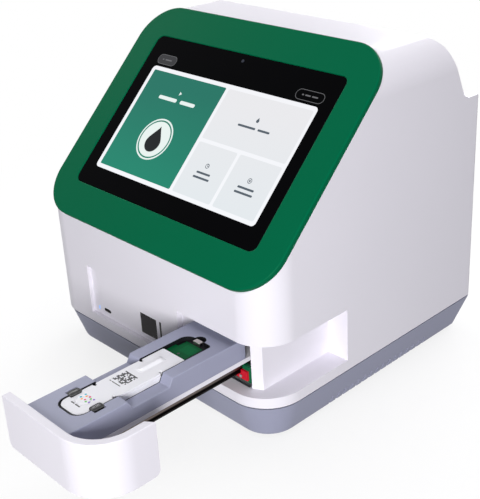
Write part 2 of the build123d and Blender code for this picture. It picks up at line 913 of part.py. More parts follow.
grip_top = cover_top - grip_drop
bay_centre = tray_centre + bay_offset
port_x = bay_centre + port_offset
bay_front_y = tray_y + bay_front
bay_back_y = tray_y + bay_back
bay_middle_y = (bay_front_y + bay_back_y) / 2
bay_floor_z = plate_top + bay_floor
deck_top = plate_top + deck_height
clip_y = tray_y + clip_start
catch_y = tray_y + catch_centre
catch_x = (bay_width + catch_width) / 2 - catch_reach
slot_width = 2 * (catch_x + catch_width / 2 + catch_travel + catch_gap)


def bay_plan(grow):
    """Plan of the bay in the tray's cover, drawn in for the frame that lines it."""
    with BuildSketch() as bay:
        with Locations((bay_centre, bay_middle_y)):
            Rectangle(bay_width + 2 * grow, bay_back_y - bay_front_y + 2 * grow)
        fillet(bay.vertices().group_by(Axis.Y)[0], bay_radius + grow)
        fillet(bay.vertices().group_by(Axis.Y)[-1].sort_by(Axis.X)[0], bay_radius + grow)
        fillet(bay.vertices().group_by(Axis.Y)[-1].sort_by(Axis.X)[-1], bay_tight_radius + grow)
        with Locations((bay_centre, bay_back_y)):
            Circle(clip_bulge + grow)
    return bay.sketch


with BuildPart() as tray_cover:
    with BuildSketch(Plane.YZ.offset(tray_centre)):
        with BuildLine():
            Polyline(
                (plate_front_y + seat_gap, plate_top),
                (plate_front_y + seat_gap, cover_top),
                (tray_y + grip_front - grip_step, cover_top),
                (tray_y + grip_front, grip_top),
                (tray_y + grip_back, grip_top),
                (tray_y + grip_back + grip_step, cover_top),
                (tray_y + cover_end, cover_top),
                (tray_y + cover_end, plate_top),
                close=True,
            )
        make_face()
    extrude(amount=tray_width / 2, both=True)
    side_faces = tray_cover.faces().sort_by(Axis.X)
    side_edges = side_faces[0].edges() + side_faces[-1].edges()
    fillet([edge for edge in side_edges if edge.center().Z > grip_top - 1], cover_edge)
    with BuildSketch(Plane.XY.offset(plate_top)):
        add(bay_plan(0))
    extrude(amount=cover_height, mode=Mode.SUBTRACT)
    with BuildSketch(Plane.XY.offset(cover_top)):
        with Locations((bay_centre, catch_y)):
            Rectangle(slot_width, catch_length + 2 * catch_gap)
    extrude(amount=-catch_height, mode=Mode.SUBTRACT)
save(tray_cover, "tray_cover")

# Black frame that lines the bay, with a deck behind the cartridge for the small board
with BuildPart() as bay_frame:
    with BuildSketch(Plane.XY.offset(plate_top)):
        add(bay_plan(-seat_gap))
    extrude(amount=deck_height)
    with BuildSketch(Plane.XY.offset(bay_floor_z)):
        with Locations((bay_centre, (tray_y + deck_start + bay_front_y) / 2)):
            Rectangle(bay_width, deck_start - bay_front)
    extrude(amount=deck_height, mode=Mode.SUBTRACT)
    with BuildSketch(Plane.XY.offset(deck_top)):
        with Locations((bay_centre + tray_board_offset, tray_y + (tray_board_start + tray_board_end) / 2)):
            Rectangle(
                tray_board_width + 2 * seat_gap, tray_board_end - tray_board_start + 2 * seat_gap
            )
    extrude(amount=-board_thickness, mode=Mode.SUBTRACT)
save(bay_frame, "bay_frame")

notch_middle = (tray_board_end - tray_board_start - tray_board_notch_length) / 2
with BuildPart() as tray_board:
    with BuildSketch(Plane.XY.offset(deck_top)):
        with Locations((bay_centre + tray_board_offset, tray_y + (tray_board_start + tray_board_end) / 2)):
            Rectangle(tray_board_width, tray_board_end - tray_board_start)
            with Locations(((tray_board_notch - tray_board_width) / 2, notch_middle)):
                Rectangle(tray_board_notch, tray_board_notch_length, mode=Mode.SUBTRACT)
    extrude(amount=-board_thickness)
save(tray_board, "tray_board")

# Sheet-steel clip that holds the frame down at the back of the bay
with BuildPart() as frame_clip:
    with BuildSketch(Plane.YZ.offset(bay_centre - clip_width / 2)):
        with BuildLine():
            Polyline(
                (clip_y, deck_top),
                (clip_y, deck_top + clip_height),
                (clip_y + clip_length, deck_top + clip_height),
                (clip_y + clip_length, deck_top),
                (clip_y + clip_length - clip_sheet, deck_top),
                (clip_y + clip_length - clip_sheet, deck_top + clip_height - clip_sheet),
                (clip_y + clip_sheet, deck_top + clip_height - clip_sheet),
                (clip_y + clip_sheet, deck_top),
                close=True,
            )
        make_face()
    extrude(amount=clip_width)
save(frame_clip, "frame_clip")

# Sprung catches that press on the cartridge from both sides
for side, name in ((-1, "left_catch"), (1, "right_catch")):
    with BuildPart() as catch:
        with BuildSketch(Plane.XY.offset(cover_top - catch_height)):
            with Locations((bay_centre + side * catch_x, catch_y)):
                Rectangle(catch_width, catch_length)
        extrude(amount=catch_height)
        top_edges = catch.edges().group_by(Axis.Z)[-1]
        chamfer(top_edges.sort_by(Axis.X)[0 if side > 0 else -1], nose_chamfer)
    save(catch, name)

# Cartridge: a body and its lid, with finger notches at the sides
cartridge_low = cover_top - cartridge_sink - cartridge_lid_height - cartridge_body_height
cartridge_split = cartridge_low + cartridge_body_height
cartridge_top = cartridge_split + cartridge_lid_height
cartridge_middle_y = tray_y + (cartridge_start + cartridge_end) / 2
catch_notch = catch_reach - (bay_width - cartridge_width) / 2 + part_gap


def cartridge_plan(shrink):
    """Plan of the cartridge with the notches for the catches and for the fingers."""
    with BuildSketch() as plan:
        with Locations((bay_centre, cartridge_middle_y)):
            Rectangle(cartridge_width - 2 * shrink, cartridge_end - cartridge_start - 2 * shrink)
        fillet(plan.vertices().group_by(Axis.Y)[0], cartridge_radius - shrink)
        fillet(plan.vertices().group_by(Axis.Y)[-1], cartridge_rear_radius - shrink)
        for side in (-1, 1):
            with Locations((bay_centre + side * cartridge_width / 2, catch_y)):
                Rectangle(2 * catch_notch, catch_length + 2 * catch_gap, mode=Mode.SUBTRACT)
            for along in (notch_front, notch_back):
                with Locations((bay_centre + side * cartridge_width / 2, tray_y + along)):
                    SlotOverall(2 * notch_depth + notch_length, notch_length, mode=Mode.SUBTRACT)
    return plan.sketch


with BuildPart() as cartridge_body:
    with BuildSketch(Plane.XY.offset(cartridge_low)):
        add(cartridge_plan(0))
    extrude(amount=cartridge_body_height)
save(cartridge_body, "cartridge_body")

with BuildPart() as cartridge_lid:
    with BuildSketch(Plane.XY.offset(cartridge_split)):
        add(cartridge_plan(lid_step))
    extrude(amount=cartridge_lid_height)
    with BuildSketch(Plane.XY.offset(cartridge_top)):
        with Locations((bay_centre + boss_offset, tray_y + (boss_start + boss_end) / 2)):
            SlotOverall(boss_end - boss_start, boss_width, rotation=90)
    extrude(amount=boss_height)
    with BuildSketch(Plane.XY.offset(cartridge_top)):
        with Locations((port_x, tray_y + port_start)):
            Circle(port_radius)
            Circle(port_radius - port_groove, mode=Mode.SUBTRACT)
    extrude(amount=-port_depth, mode=Mode.SUBTRACT)
save(cartridge_lid, "cartridge_lid")

# Linear guide: a grooved rail under the tray runs through a carriage that stands on the chassis
rail_groove_z = rail_bottom + rail_groove_rise
rail_length = plate_end - rail_start
rail_screw_places = [
    (rail_x, tray_y + (rail_start + plate_end) / 2 + (number - 2) * rail_screw_pitch) for number in range(5)
]
with BuildPart() as guide_rail:
    with BuildSketch(Plane.XZ.offset(-(tray_y + rail_start))):
        with Locations((rail_x, rail_bottom + rail_height / 2)):
            Rectangle(rail_width, rail_height)
        for side in (-1, 1):
            with Locations((rail_x + side * rail_width / 2, rail_groove_z)):
                Rectangle(2 * rail_groove_depth, rail_groove, mode=Mode.SUBTRACT)
    extrude(amount=-rail_length)
    with BuildSketch(Plane.XY.offset(rail_bottom)):
        with Locations(*rail_screw_places):
            Circle(rail_screw_head)
    extrude(amount=rail_screw_depth, mode=Mode.SUBTRACT)
    with BuildSketch(Plane.XY.offset(rail_bottom)):
        with Locations(*rail_screw_places):
            Circle(screw_radius + window_gap)
    extrude(amount=rail_height, mode=Mode.SUBTRACT)
save(guide_rail, "guide_rail")

with BuildPart() as rail_screws:
    with BuildSketch(Plane.XY.offset(rail_bottom + rail_screw_depth)):
        with Locations(*rail_screw_places):
            Circle(screw_head_radius)
    extrude(amount=-screw_head_height)
    with BuildSketch(Plane.XY.offset(rail_bottom + rail_screw_depth)):
        with Locations(*rail_screw_places):
            Circle(screw_radius)
    extrude(amount=rail_height - rail_screw_depth)
save(rail_screws, "rail_screws")

carriage_floor_z = rail_bottom - carriage_slack
carriage_bottom = carriage_floor_z - carriage_web
carriage_y = front_y + carriage_front
cap_bottom = carriage_bottom - (end_cap_height - carriage_height) / 2
cap_ends = [carriage_y - end_cap_length, carriage_y + carriage_length]
seal_ends = [carriage_y - end_cap_length - seal_thickness, carriage_y + carriage_length + end_cap_length]
lip_depth = rail_groove_depth
lip_height = rail_groove - 2 * carriage_slack
lip_offset = rail_width / 2 + carriage_slack - lip_depth / 2


def u_section(width, bottom, height):
    """Section of a block that the rail runs through."""
    with BuildSketch() as section:
        with Locations((rail_x, bottom + height / 2)):
            Rectangle(width, height)
        with Locations((rail_x, carriage_floor_z + height)):
            Rectangle(rail_width + 2 * carriage_slack, 2 * height, mode=Mode.SUBTRACT)
    return section.sketch


with BuildPart() as guide_carriage:
    with BuildSketch(Plane.XZ.offset(-carriage_y)):
        add(u_section(carriage_width, carriage_bottom, carriage_height))
        for side in (-1, 1):
            with Locations((rail_x + side * lip_offset, rail_groove_z)):
                Rectangle(lip_depth, lip_height)
    extrude(amount=-carriage_length)
save(guide_carriage, "guide_carriage")

with BuildPart() as carriage_end_caps:
    for cap_y in cap_ends:
        with BuildSketch(Plane.XZ.offset(-cap_y)):
            add(u_section(end_cap_width, cap_bottom, end_cap_height))
        extrude(amount=-end_cap_length)
save(carriage_end_caps, "carriage_end_caps")

seal_bottom = carriage_bottom + seal_rise
seal_screw_z = seal_bottom + seal_screw_rise
with BuildPart() as carriage_seals:
    for seal_y in seal_ends:
        with BuildSketch(Plane.XZ.offset(-seal_y)):
            add(u_section(seal_width, seal_bottom, seal_height))
            with Locations((rail_x, seal_screw_z)):
                with GridLocations(seal_screw_spread, 1, 2, 1):
                    Circle(seal_shank_radius + shaft_gap, mode=Mode.SUBTRACT)
        extrude(amount=-seal_thickness)
save(carriage_seals, "carriage_seals")

# Pan-head screws that hold each seal and end cap to the carriage
with BuildPart() as seal_screws:
    with BuildSketch(Plane.XZ.offset(-seal_ends[0])):
        with Locations((rail_x, seal_screw_z)):
            with GridLocations(seal_screw_spread, 1, 2, 1):
                Circle(seal_head_radius)
    extrude(amount=seal_head_height)
    with BuildSketch(Plane.XZ.offset(-seal_ends[0])):
        with Locations((rail_x, seal_screw_z)):
            with GridLocations(seal_screw_spread, 1, 2, 1):
                Circle(seal_shank_radius)
    extrude(amount=-seal_thickness)
save(seal_screws, "seal_screws")

with BuildPart() as carriage_block:
    with BuildSketch(Plane.XY.offset(chassis_top)):
        with Locations((rail_x, carriage_y + carriage_length / 2)):
            Rectangle(carriage_block_width, carriage_block_length)
    extrude(amount=carriage_bottom - chassis_top)
save(carriage_block, "carriage_block")

# Rack under the tray, with straight-sided teeth
tooth_pitch = pi * gear_module
tooth_root_z = plate_bottom - rack_back
tooth_tip_z = pitch_z - tooth_addendum * gear_module
half_tooth = tooth_pitch / 4 - backlash / 4
root_half = half_tooth + tooth_dedendum * gear_module * tan(radians(pressure_angle))
tip_half = half_tooth - tooth_addendum * gear_module * tan(radians(pressure_angle))
rack_low_y = axle_y - (rack_teeth_ahead + 0.5) * tooth_pitch
rack_high_y = axle_y + (rack_teeth_behind + 0.5) * tooth_pitch
rack_outline = [(rack_low_y, plate_bottom), (rack_low_y, tooth_root_z)]
for number in range(-rack_teeth_ahead, rack_teeth_behind + 1):
    tooth_y = axle_y + number * tooth_pitch
    rack_outline.append((tooth_y - root_half, tooth_root_z))
    rack_outline.append((tooth_y - tip_half, tooth_tip_z))
    rack_outline.append((tooth_y + tip_half, tooth_tip_z))
    rack_outline.append((tooth_y + root_half, tooth_root_z))
rack_outline.append((rack_high_y, tooth_root_z))
rack_outline.append((rack_high_y, plate_bottom))
with BuildPart() as tray_rack:
    with BuildSketch(Plane.YZ.offset(rack_x - rack_width / 2)):
        with BuildLine():
            Polyline(*rack_outline, close=True)
        make_face()
    extrude(amount=rack_width)
save(tray_rack, "tray_rack")


def flank_angle(radius):
    """Half the angle that a pinion tooth fills at a radius, along its involute."""
    base_radius = pinion_radius * cos(radians(pressure_angle))
    steep = acos(min(1.0, base_radius / radius))
    start = radians(pressure_angle)
    return half_tooth / pinion_radius + tan(start) - start - tan(steep) + steep


def flank_point(radius, side):
    """A point on one flank of the pinion tooth that points along the local X axis."""
    angle = side * flank_angle(radius)
    return (radius * cos(angle), radius * sin(angle))


# Pinion on the motor's shaft, with a tooth space facing the rack at rest
root_radius = pinion_radius - tooth_dedendum * gear_module
tip_radius = pinion_radius + tooth_addendum * gear_module
flank_radius = pinion_radius * cos(radians(pressure_angle))
flank_radii = (flank_radius, (flank_radius + tip_radius) / 2, tip_radius)
sunk_radius = root_radius - gear_module / 2
with BuildSketch() as pinion_tooth:
    with BuildLine():
        Line(flank_point(sunk_radius, -1), flank_point(flank_radius, -1))
        ThreePointArc(*[flank_point(radius, -1) for radius in flank_radii])
        Line(flank_point(tip_radius, -1), flank_point(tip_radius, 1))
        ThreePointArc(*[flank_point(radius, 1) for radius in flank_radii])
        Line(flank_point(flank_radius, 1), flank_point(sunk_radius, 1))
        Line(flank_point(sunk_radius, 1), flank_point(sunk_radius, -1))
    make_face()

pinion_face = Plane(origin=(rack_x - pinion_width / 2, axle_y, axle_z), x_dir=(0, 1, 0), z_dir=(1, 0, 0))
shaft_length = motor_standoff + shaft_reach
with BuildPart() as drive_pinion:
    with BuildSketch(pinion_face):
        Circle(root_radius)
        with PolarLocations(0, pinion_teeth, start_angle=180 / pinion_teeth):
            add(pinion_tooth.sketch)
    extrude(amount=pinion_width)
    with BuildSketch(pinion_face):
        Circle(shaft_radius)
    extrude(amount=-shaft_length)
save(drive_pinion, "drive_pinion")

motor_face = Plane(origin=(motor_face_x, axle_y, axle_z), x_dir=(0, 1, 0), z_dir=(1, 0, 0))
with BuildPart() as tray_motor:
    with BuildSketch(motor_face):
        Circle(motor_radius)
    extrude(amount=-motor_length)
    fillet(tray_motor.edges().group_by(Axis.X)[0], front_edge)
    with BuildSketch(motor_face):
        Circle(motor_boss_radius)
    extrude(amount=chassis_sheet)
    with BuildSketch(motor_face.offset(chassis_sheet)):
        Circle(shaft_radius + shaft_gap)
    extrude(amount=-(shaft_reach + chassis_sheet), mode=Mode.SUBTRACT)
save(tray_motor, "tray_motor")

bracket_height = plate_bottom - bracket_headroom - chassis_top
with BuildPart() as motor_bracket:
    with BuildSketch(Plane.YZ.offset(motor_face_x)):
        with Locations((axle_y, chassis_top + bracket_height / 2)):
            Rectangle(motor_bracket_width, bracket_height)
        with Locations((axle_y, axle_z)):
            Circle(motor_boss_radius, mode=Mode.SUBTRACT)
    extrude(amount=chassis_sheet)
    with BuildSketch(Plane.XY.offset(chassis_top)):
        for side in (-1, 1):
            with Locations((bracket_foot_x, axle_y + side * bracket_foot_y)):
                Rectangle(bracket_foot + chassis_sheet, bracket_foot)
                Circle(screw_radius + window_gap, mode=Mode.SUBTRACT)
    extrude(amount=chassis_sheet)
save(motor_bracket, "motor_bracket")

# Sensor that sees the tray come home
sensor_x = tray_centre + sensor_offset
with BuildPart() as home_sensor:
    with BuildSketch(Plane.XZ.offset(-(front_y + sensor_start))):
        with Locations((sensor_x, chassis_top + sensor_height / 2)):
            Rectangle(2 * sensor_width, sensor_height)
        with Locations((sensor_x, chassis_top + sensor_height - sensor_slot_depth / 2)):
            Rectangle(sensor_slot, sensor_slot_depth, mode=Mode.SUBTRACT)
    extrude(amount=-sensor_length)
save(home_sensor, "home_sensor")

# Bridge over the tray for the reading head
bridge_roof = cover_top + bridge_clearance
with BuildPart() as optics_bridge:
    with BuildSketch(Plane.XZ.offset(-bridge_y)):
        with BuildLine():
            Polyline(
                (bridge_left - bridge_flange, chassis_top),
                (bridge_left - bridge_flange, foot_top),
                (bridge_left, foot_top),
                (bridge_left, bridge_roof + chassis_sheet),
                (bridge_right, bridge_roof + chassis_sheet),
                (bridge_right, foot_top),
                (bridge_right + bridge_flange, foot_top),
                (bridge_right + bridge_flange, chassis_top),
                (bridge_right - chassis_sheet, chassis_top),
                (bridge_right - chassis_sheet, bridge_roof),
                (bridge_left + chassis_sheet, bridge_roof),
                (bridge_left + chassis_sheet, chassis_top),
                close=True,
            )
        make_face()
    extrude(amount=-bridge_length)
    with BuildSketch(Plane.XY.offset(bridge_roof)):
        with Locations((bay_centre, bridge_middle_y)):
            Circle(snout_radius + part_gap)
    extrude(amount=chassis_sheet, mode=Mode.SUBTRACT)
    with BuildSketch(Plane.XY.offset(chassis_top)):
        with Locations(*bridge_screw_places):
            Circle(screw_radius + window_gap)
    extrude(amount=chassis_sheet, mode=Mode.SUBTRACT)
save(optics_bridge, "optics_bridge")

head_bottom = bridge_roof + chassis_sheet
with BuildPart() as optics_head:
    with BuildSketch(Plane.XY.offset(head_bottom)):
        with Locations((bay_centre, bridge_middle_y)):
            RectangleRounded(head_width, head_length, head_edge)
    extrude(amount=head_height)
    chamfer(optics_head.edges().group_by(Axis.Z)[-1], head_edge / 2)
    with BuildSketch(Plane.XY.offset(head_bottom)):
        with Locations((bay_centre, bridge_middle_y)):
            Circle(snout_radius)
    extrude(amount=-snout_drop)
    with BuildSketch(Plane.XY.offset(head_bottom - snout_drop)):
        with Locations((bay_centre, bridge_middle_y)):
            Circle(eye_radius)
    extrude(amount=snout_drop + eye_depth, mode=Mode.SUBTRACT)
save(optics_head, "optics_head")

with BuildPart() as optics_lens:
    with BuildSketch(Plane.XY.offset(head_bottom + eye_depth)):
        with Locations((bay_centre, bridge_middle_y)):
            Circle(eye_radius)
    extrude(amount=-eye_depth)
save(optics_lens, "optics_lens")

# Main board on its posts over the pan's floor
board_z = pan_floor_z + main_board_rise
main_board_x = main_board_inset - half_width
board_front_y = front_y + post_front + post_radius + main_board_front_gap
board_back_y = back_y - post_back - post_radius - main_board_back_gap
main_board_length = board_back_y - board_front_y
main_board_y = (board_back_y + board_front_y) / 2
board_post_x = main_board_width / 2 - board_post_inset
board_post_y = main_board_length / 2 - board_post_inset
board_post_places = [
    (main_board_x + x, main_board_y + y)
    for x in (-board_post_x, board_post_x)
    for y in (-board_post_y, board_post_y)
]
with BuildPart() as board_posts:
    with BuildSketch(Plane.XY.offset(pan_floor_z)):
        with Locations(*board_post_places):
            RegularPolygon(board_post_radius, 6)
            Circle(screw_radius, mode=Mode.SUBTRACT)
    extrude(amount=main_board_rise)
save(board_posts, "board_posts")

with BuildPart() as main_board:
    with BuildSketch(Plane.XY.offset(board_z)):
        with Locations((main_board_x, main_board_y)):
            Rectangle(main_board_width, main_board_length)
        with Locations(*board_post_places):
            Circle(screw_radius + window_gap, mode=Mode.SUBTRACT)
    extrude(amount=board_thickness)
save(main_board, "main_board")

board_top = board_z + board_thickness
with BuildPart() as heat_sink:
    with BuildSketch(Plane.XY.offset(board_top)):
        with Locations((main_board_x, main_board_y)):
            Rectangle(heat_sink_size, heat_sink_size)
    extrude(amount=board_thickness)
    with BuildSketch(Plane.XY.offset(board_top + board_thickness)):
        with Locations((main_board_x, main_board_y)):
            with GridLocations((heat_sink_size - board_thickness) / (fin_count - 1), 1, fin_count, 1):
                Rectangle(board_thickness, heat_sink_size)
    extrude(amount=heat_sink_height - board_thickness)
save(heat_sink, "heat_sink")

# Screws of the boards: along Z into the posts, along Y into the cover's bosses
with BuildPart() as board_screws:
    with BuildSketch(Plane.XY.offset(board_top)):
        with Locations(*board_post_places):
            Circle(screw_head_radius)
    extrude(amount=screw_head_height)
    with BuildSketch(Plane.XY.offset(board_top)):
        with Locations(*board_post_places):
            Circle(screw_radius)
    extrude(amount=-(board_thickness + screw_grip))
    with BuildSketch(Plane.XZ.offset(-(front_board_y + board_thickness))):
        with Locations(*front_boss_places):
            Circle(screw_head_radius)
    extrude(amount=-screw_head_height)
    with BuildSketch(Plane.XZ.offset(-(front_board_y + board_thickness))):
        with Locations(*front_boss_places):
            Circle(screw_radius)
    extrude(amount=board_thickness + front_board_y - recess_back_y)
save(board_screws, "board_screws")

# Back panel with the fan, the switch and the sockets
panel_out = back_y - wall
panel_in = panel_out - panel_sheet
panel_face = Plane.XZ.offset(-panel_out)
fan_x = fan_inset - panel_width / 2
switch_x = panel_width / 2 - switch_inset
jack_x = switch_x - jack_spacing
network_x = jack_x - network_spacing
usb_a_x = network_x - usb_a_spacing
io_board_left = usb_a_x - io_board_margin
io_board_right = jack_x + io_board_margin
socket_base_z = panel_centre - socket_drop
fan_screw_offset = fan_size / 2 - fan_corner
with BuildPart() as back_panel:
    with BuildSketch(panel_face):
        with Locations((0, panel_centre)):
            Rectangle(panel_width, panel_height)
        with Locations(*panel_screw_places):
            Circle(screw_radius + window_gap, mode=Mode.SUBTRACT)
        with Locations((fan_x, panel_centre)):
            with GridLocations(2 * fan_screw_offset, 2 * fan_screw_offset, 2, 2):
                Circle(screw_radius + window_gap, mode=Mode.SUBTRACT)
        with Locations((switch_x, panel_centre)):
            Rectangle(switch_width + 2 * window_gap, switch_height + 2 * window_gap, mode=Mode.SUBTRACT)
        with Locations((jack_x, socket_base_z + jack_height / 2)):
            Rectangle(jack_width + 2 * window_gap, jack_height + 2 * window_gap, mode=Mode.SUBTRACT)
        with Locations((network_x, socket_base_z + network_height / 2)):
            Rectangle(network_width + 2 * window_gap, network_height + 2 * window_gap, mode=Mode.SUBTRACT)
        with Locations((usb_a_x, socket_base_z + usb_a_height / 2)):
            Rectangle(usb_a_width + 2 * window_gap, usb_a_height + 2 * window_gap, mode=Mode.SUBTRACT)
        with Locations((fan_x, panel_centre)):
            with PolarLocations((fan_bore + grille_inner) / 2, grille_slots):
                SlotOverall(fan_bore - grille_inner, grille_width, mode=Mode.SUBTRACT)
    extrude(amount=panel_sheet)
    # Lugs that carry the socket board
    with BuildSketch(Plane.XY.offset(socket_base_z - board_thickness)):
        with Locations((io_board_left + lug_width, panel_in), (io_board_right - lug_width, panel_in)):
            Rectangle(lug_width, 2 * lug_length)
    extrude(amount=-panel_sheet)
    with BuildSketch(panel_face):
        with Locations((0, panel_centre)):
            Rectangle(panel_width, panel_height)
    extrude(amount=-lug_length, mode=Mode.SUBTRACT)
save(back_panel, "back_panel")

# Fan: a square frame, a spider that carries the pin, and the rotor that runs on it
fan_front = panel_in - fan_depth
spider_plane = Plane.XZ.offset(-fan_front)
rotor_front = fan_front + fan_back_sheet + fan_hub_gap
rotor_length = fan_depth - fan_back_sheet - 2 * fan_hub_gap
with BuildPart() as fan_frame:
    with BuildSketch(spider_plane):
        with Locations((fan_x, panel_centre)):
            RectangleRounded(fan_size, fan_size, wall)
            Circle(fan_bore, mode=Mode.SUBTRACT)
            with GridLocations(2 * fan_screw_offset, 2 * fan_screw_offset, 2, 2):
                Circle(screw_radius, mode=Mode.SUBTRACT)
    extrude(amount=-fan_depth)
    with BuildSketch(spider_plane):
        with Locations((fan_x, panel_centre)):
            Circle(fan_hub_radius)
            for turn in (45, 135):
                Rectangle(2 * fan_bore + fan_strut, fan_strut, rotation=turn)
    extrude(amount=-fan_back_sheet)
    with BuildSketch(spider_plane):
        with Locations((fan_x, panel_centre)):
            Circle(fan_pin_radius)
    extrude(amount=-(fan_depth - fan_hub_gap))
save(fan_frame, "fan_frame")

blade_chord = rotor_length / sin(radians(blade_pitch))
with BuildPart() as fan_sweep:
    with BuildSketch(Plane.XZ.offset(-rotor_front)):
        with Locations((fan_x, panel_centre)):
            Circle(fan_bore - fan_tip_gap)
    extrude(amount=-rotor_length)
with BuildPart() as fan_rotor:
    for number in range(blade_count):
        turn = radians(360 * number / blade_count)
        blade_plane = Plane(
            origin=(fan_x, rotor_front + rotor_length / 2, panel_centre),
            x_dir=(0, 1, 0),
            z_dir=(cos(turn), 0, sin(turn)),
        )
        with BuildSketch(blade_plane):
            Rectangle(blade_chord, blade_thickness, rotation=90 - blade_pitch)
        extrude(amount=fan_bore)
    add(fan_sweep.part, mode=Mode.INTERSECT)
    with BuildSketch(Plane.XZ.offset(-rotor_front)):
        with Locations((fan_x, panel_centre)):
            Circle(fan_hub_radius)
    extrude(amount=-rotor_length)
    with BuildSketch(Plane.XZ.offset(-rotor_front)):
        with Locations((fan_x, panel_centre)):
            Circle(fan_pin_radius + shaft_gap)
    extrude(amount=-rotor_length, mode=Mode.SUBTRACT)
save(fan_rotor, "fan_rotor")

# Screws of the back panel, through the cover's wall, and of the fan, through the panel
panel_screw_length = panel_sheet + screw_grip
with BuildPart() as panel_screws:
    with BuildSketch(Plane.XZ.offset(-back_y)):
        with Locations(*panel_screw_places):
            Circle(screw_head_radius)
    extrude(amount=-screw_head_height)
    with BuildSketch(Plane.XZ.offset(-back_y)):
        with Locations(*panel_screw_places):
            Circle(screw_radius)
    extrude(amount=panel_screw_length)
    with BuildSketch(panel_face):
        with Locations((fan_x, panel_centre)):
            with GridLocations(2 * fan_screw_offset, 2 * fan_screw_offset, 2, 2):
                Circle(screw_head_radius)
    extrude(amount=-screw_head_height)
    with BuildSketch(panel_face):
        with Locations((fan_x, panel_centre)):
            with GridLocations(2 * fan_screw_offset, 2 * fan_screw_offset, 2, 2):
                Circle(screw_radius)
    extrude(amount=panel_screw_length)
save(panel_screws, "panel_screws")

# Power switch: a frame in the back panel and a rocker on two stub pins
switch_out = panel_out + switch_flange
switch_plane = Plane.XZ.offset(-switch_out)
rocker_y = switch_out - rocker_sink
flange_width = switch_width + 2 * switch_flange
flange_height = switch_height + 2 * switch_flange
rocker_width = switch_width - 2 * switch_wall - 2 * rocker_gap
rocker_half = switch_height / 2 - switch_wall - 2 * rocker_gap
rocker_end = rocker_rise + rocker_half * tan(radians(rocker_angle))
with BuildPart() as switch_frame:
    with BuildSketch(switch_plane):
        with Locations((switch_x, panel_centre)):
            RectangleRounded(flange_width, flange_height, switch_wall)
    extrude(amount=switch_flange)
    with BuildSketch(switch_plane):
        with Locations((switch_x, panel_centre)):
            Rectangle(switch_width, switch_height)
    extrude(amount=switch_depth)
    with BuildSketch(switch_plane):
        with Locations((switch_x, panel_centre)):
            Rectangle(switch_width - 2 * switch_wall, switch_height - 2 * switch_wall)
    extrude(amount=switch_depth - switch_wall, mode=Mode.SUBTRACT)
    with BuildSketch(Plane.YZ.offset(switch_x)):
        with Locations((rocker_y, panel_centre)):
            Circle(rocker_pin_radius + shaft_gap)
    extrude(amount=rocker_width / 2 + rocker_pin_length + shaft_gap, both=True, mode=Mode.SUBTRACT)
save(switch_frame, "switch_frame")

tilt = radians(rocker_angle)
rocker_plane = Plane(
    origin=(switch_x, rocker_y, panel_centre), x_dir=(0, cos(tilt), -sin(tilt)), z_dir=(1, 0, 0)
)
with BuildPart() as switch_rocker:
    with BuildSketch(rocker_plane):
        with BuildLine():
            Polyline(
                (rocker_rise, 0),
                (rocker_end, rocker_half),
                (-rocker_depth, rocker_half / 2),
                (-rocker_depth, -rocker_half / 2),
                (rocker_end, -rocker_half),
                close=True,
            )
        make_face()
    extrude(amount=rocker_width / 2, both=True)
    with BuildSketch(rocker_plane):
        Circle(rocker_pin_radius)
    extrude(amount=rocker_width / 2 + rocker_pin_length, both=True)
save(switch_rocker, "switch_rocker")

# Sockets on their board
with BuildPart() as socket_board:
    with BuildSketch(Plane.XY.offset(socket_base_z)):
        with Locations(((io_board_left + io_board_right) / 2, panel_in - io_board_depth / 2)):
            Rectangle(io_board_right - io_board_left, io_board_depth)
    extrude(amount=-board_thickness)
save(socket_board, "socket_board")

with BuildPart() as power_jack:
    with BuildSketch(panel_face):
        with Locations((jack_x, socket_base_z + jack_height / 2)):
            Rectangle(jack_width, jack_height)
            Circle(jack_bore, mode=Mode.SUBTRACT)
            Circle(jack_pin_radius)
    extrude(amount=jack_depth - wall)
    with BuildSketch(panel_face.offset(jack_depth - wall)):
        with Locations((jack_x, socket_base_z + jack_height / 2)):
            Rectangle(jack_width, jack_height)
    extrude(amount=wall)
save(power_jack, "power_jack")

network_hole_z = socket_base_z + network_hole_rise + network_hole_height / 2
with BuildPart() as network_socket:
    with BuildSketch(panel_face):
        with Locations((network_x, socket_base_z + network_height / 2)):
            Rectangle(network_width, network_height)
    extrude(amount=network_depth)
    with BuildSketch(panel_face):
        with Locations((network_x, network_hole_z)):
            Rectangle(network_hole_width, network_hole_height)
    extrude(amount=network_hole_depth, mode=Mode.SUBTRACT)
save(network_socket, "network_socket")

with BuildPart() as usb_a_sockets:
    with BuildSketch(panel_face):
        with Locations((usb_a_x, socket_base_z + usb_a_height / 2)):
            Rectangle(usb_a_width, usb_a_height)
    extrude(amount=usb_a_depth)
    with BuildSketch(panel_face):
        with Locations((usb_a_x, socket_base_z + usb_a_height / 2)):
            with GridLocations(1, usb_a_pitch, 1, 2):
                Rectangle(usb_a_hole_width, usb_a_hole_height)
                Rectangle(usb_a_hole_width, usb_a_tongue, mode=Mode.SUBTRACT)
    extrude(amount=usb_a_hole_depth, mode=Mode.SUBTRACT)
save(usb_a_sockets, "usb_a_sockets")
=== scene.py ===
# %% [markdown]
# An assay cartridge reader: a white moulded housing on a grey tapered base, with a touch screen
# in a green bezel on its sloped front, and a tray drawn out with a cartridge in it.
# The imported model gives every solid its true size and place, so nothing has to be fitted by
# eye: this file adds finishes, what the screen shows, small surface detail, light and camera.

# %% Load the model and note its box
import bpy
import bmesh
from math import cos, pi, radians, sin
from mathutils import Matrix, Vector


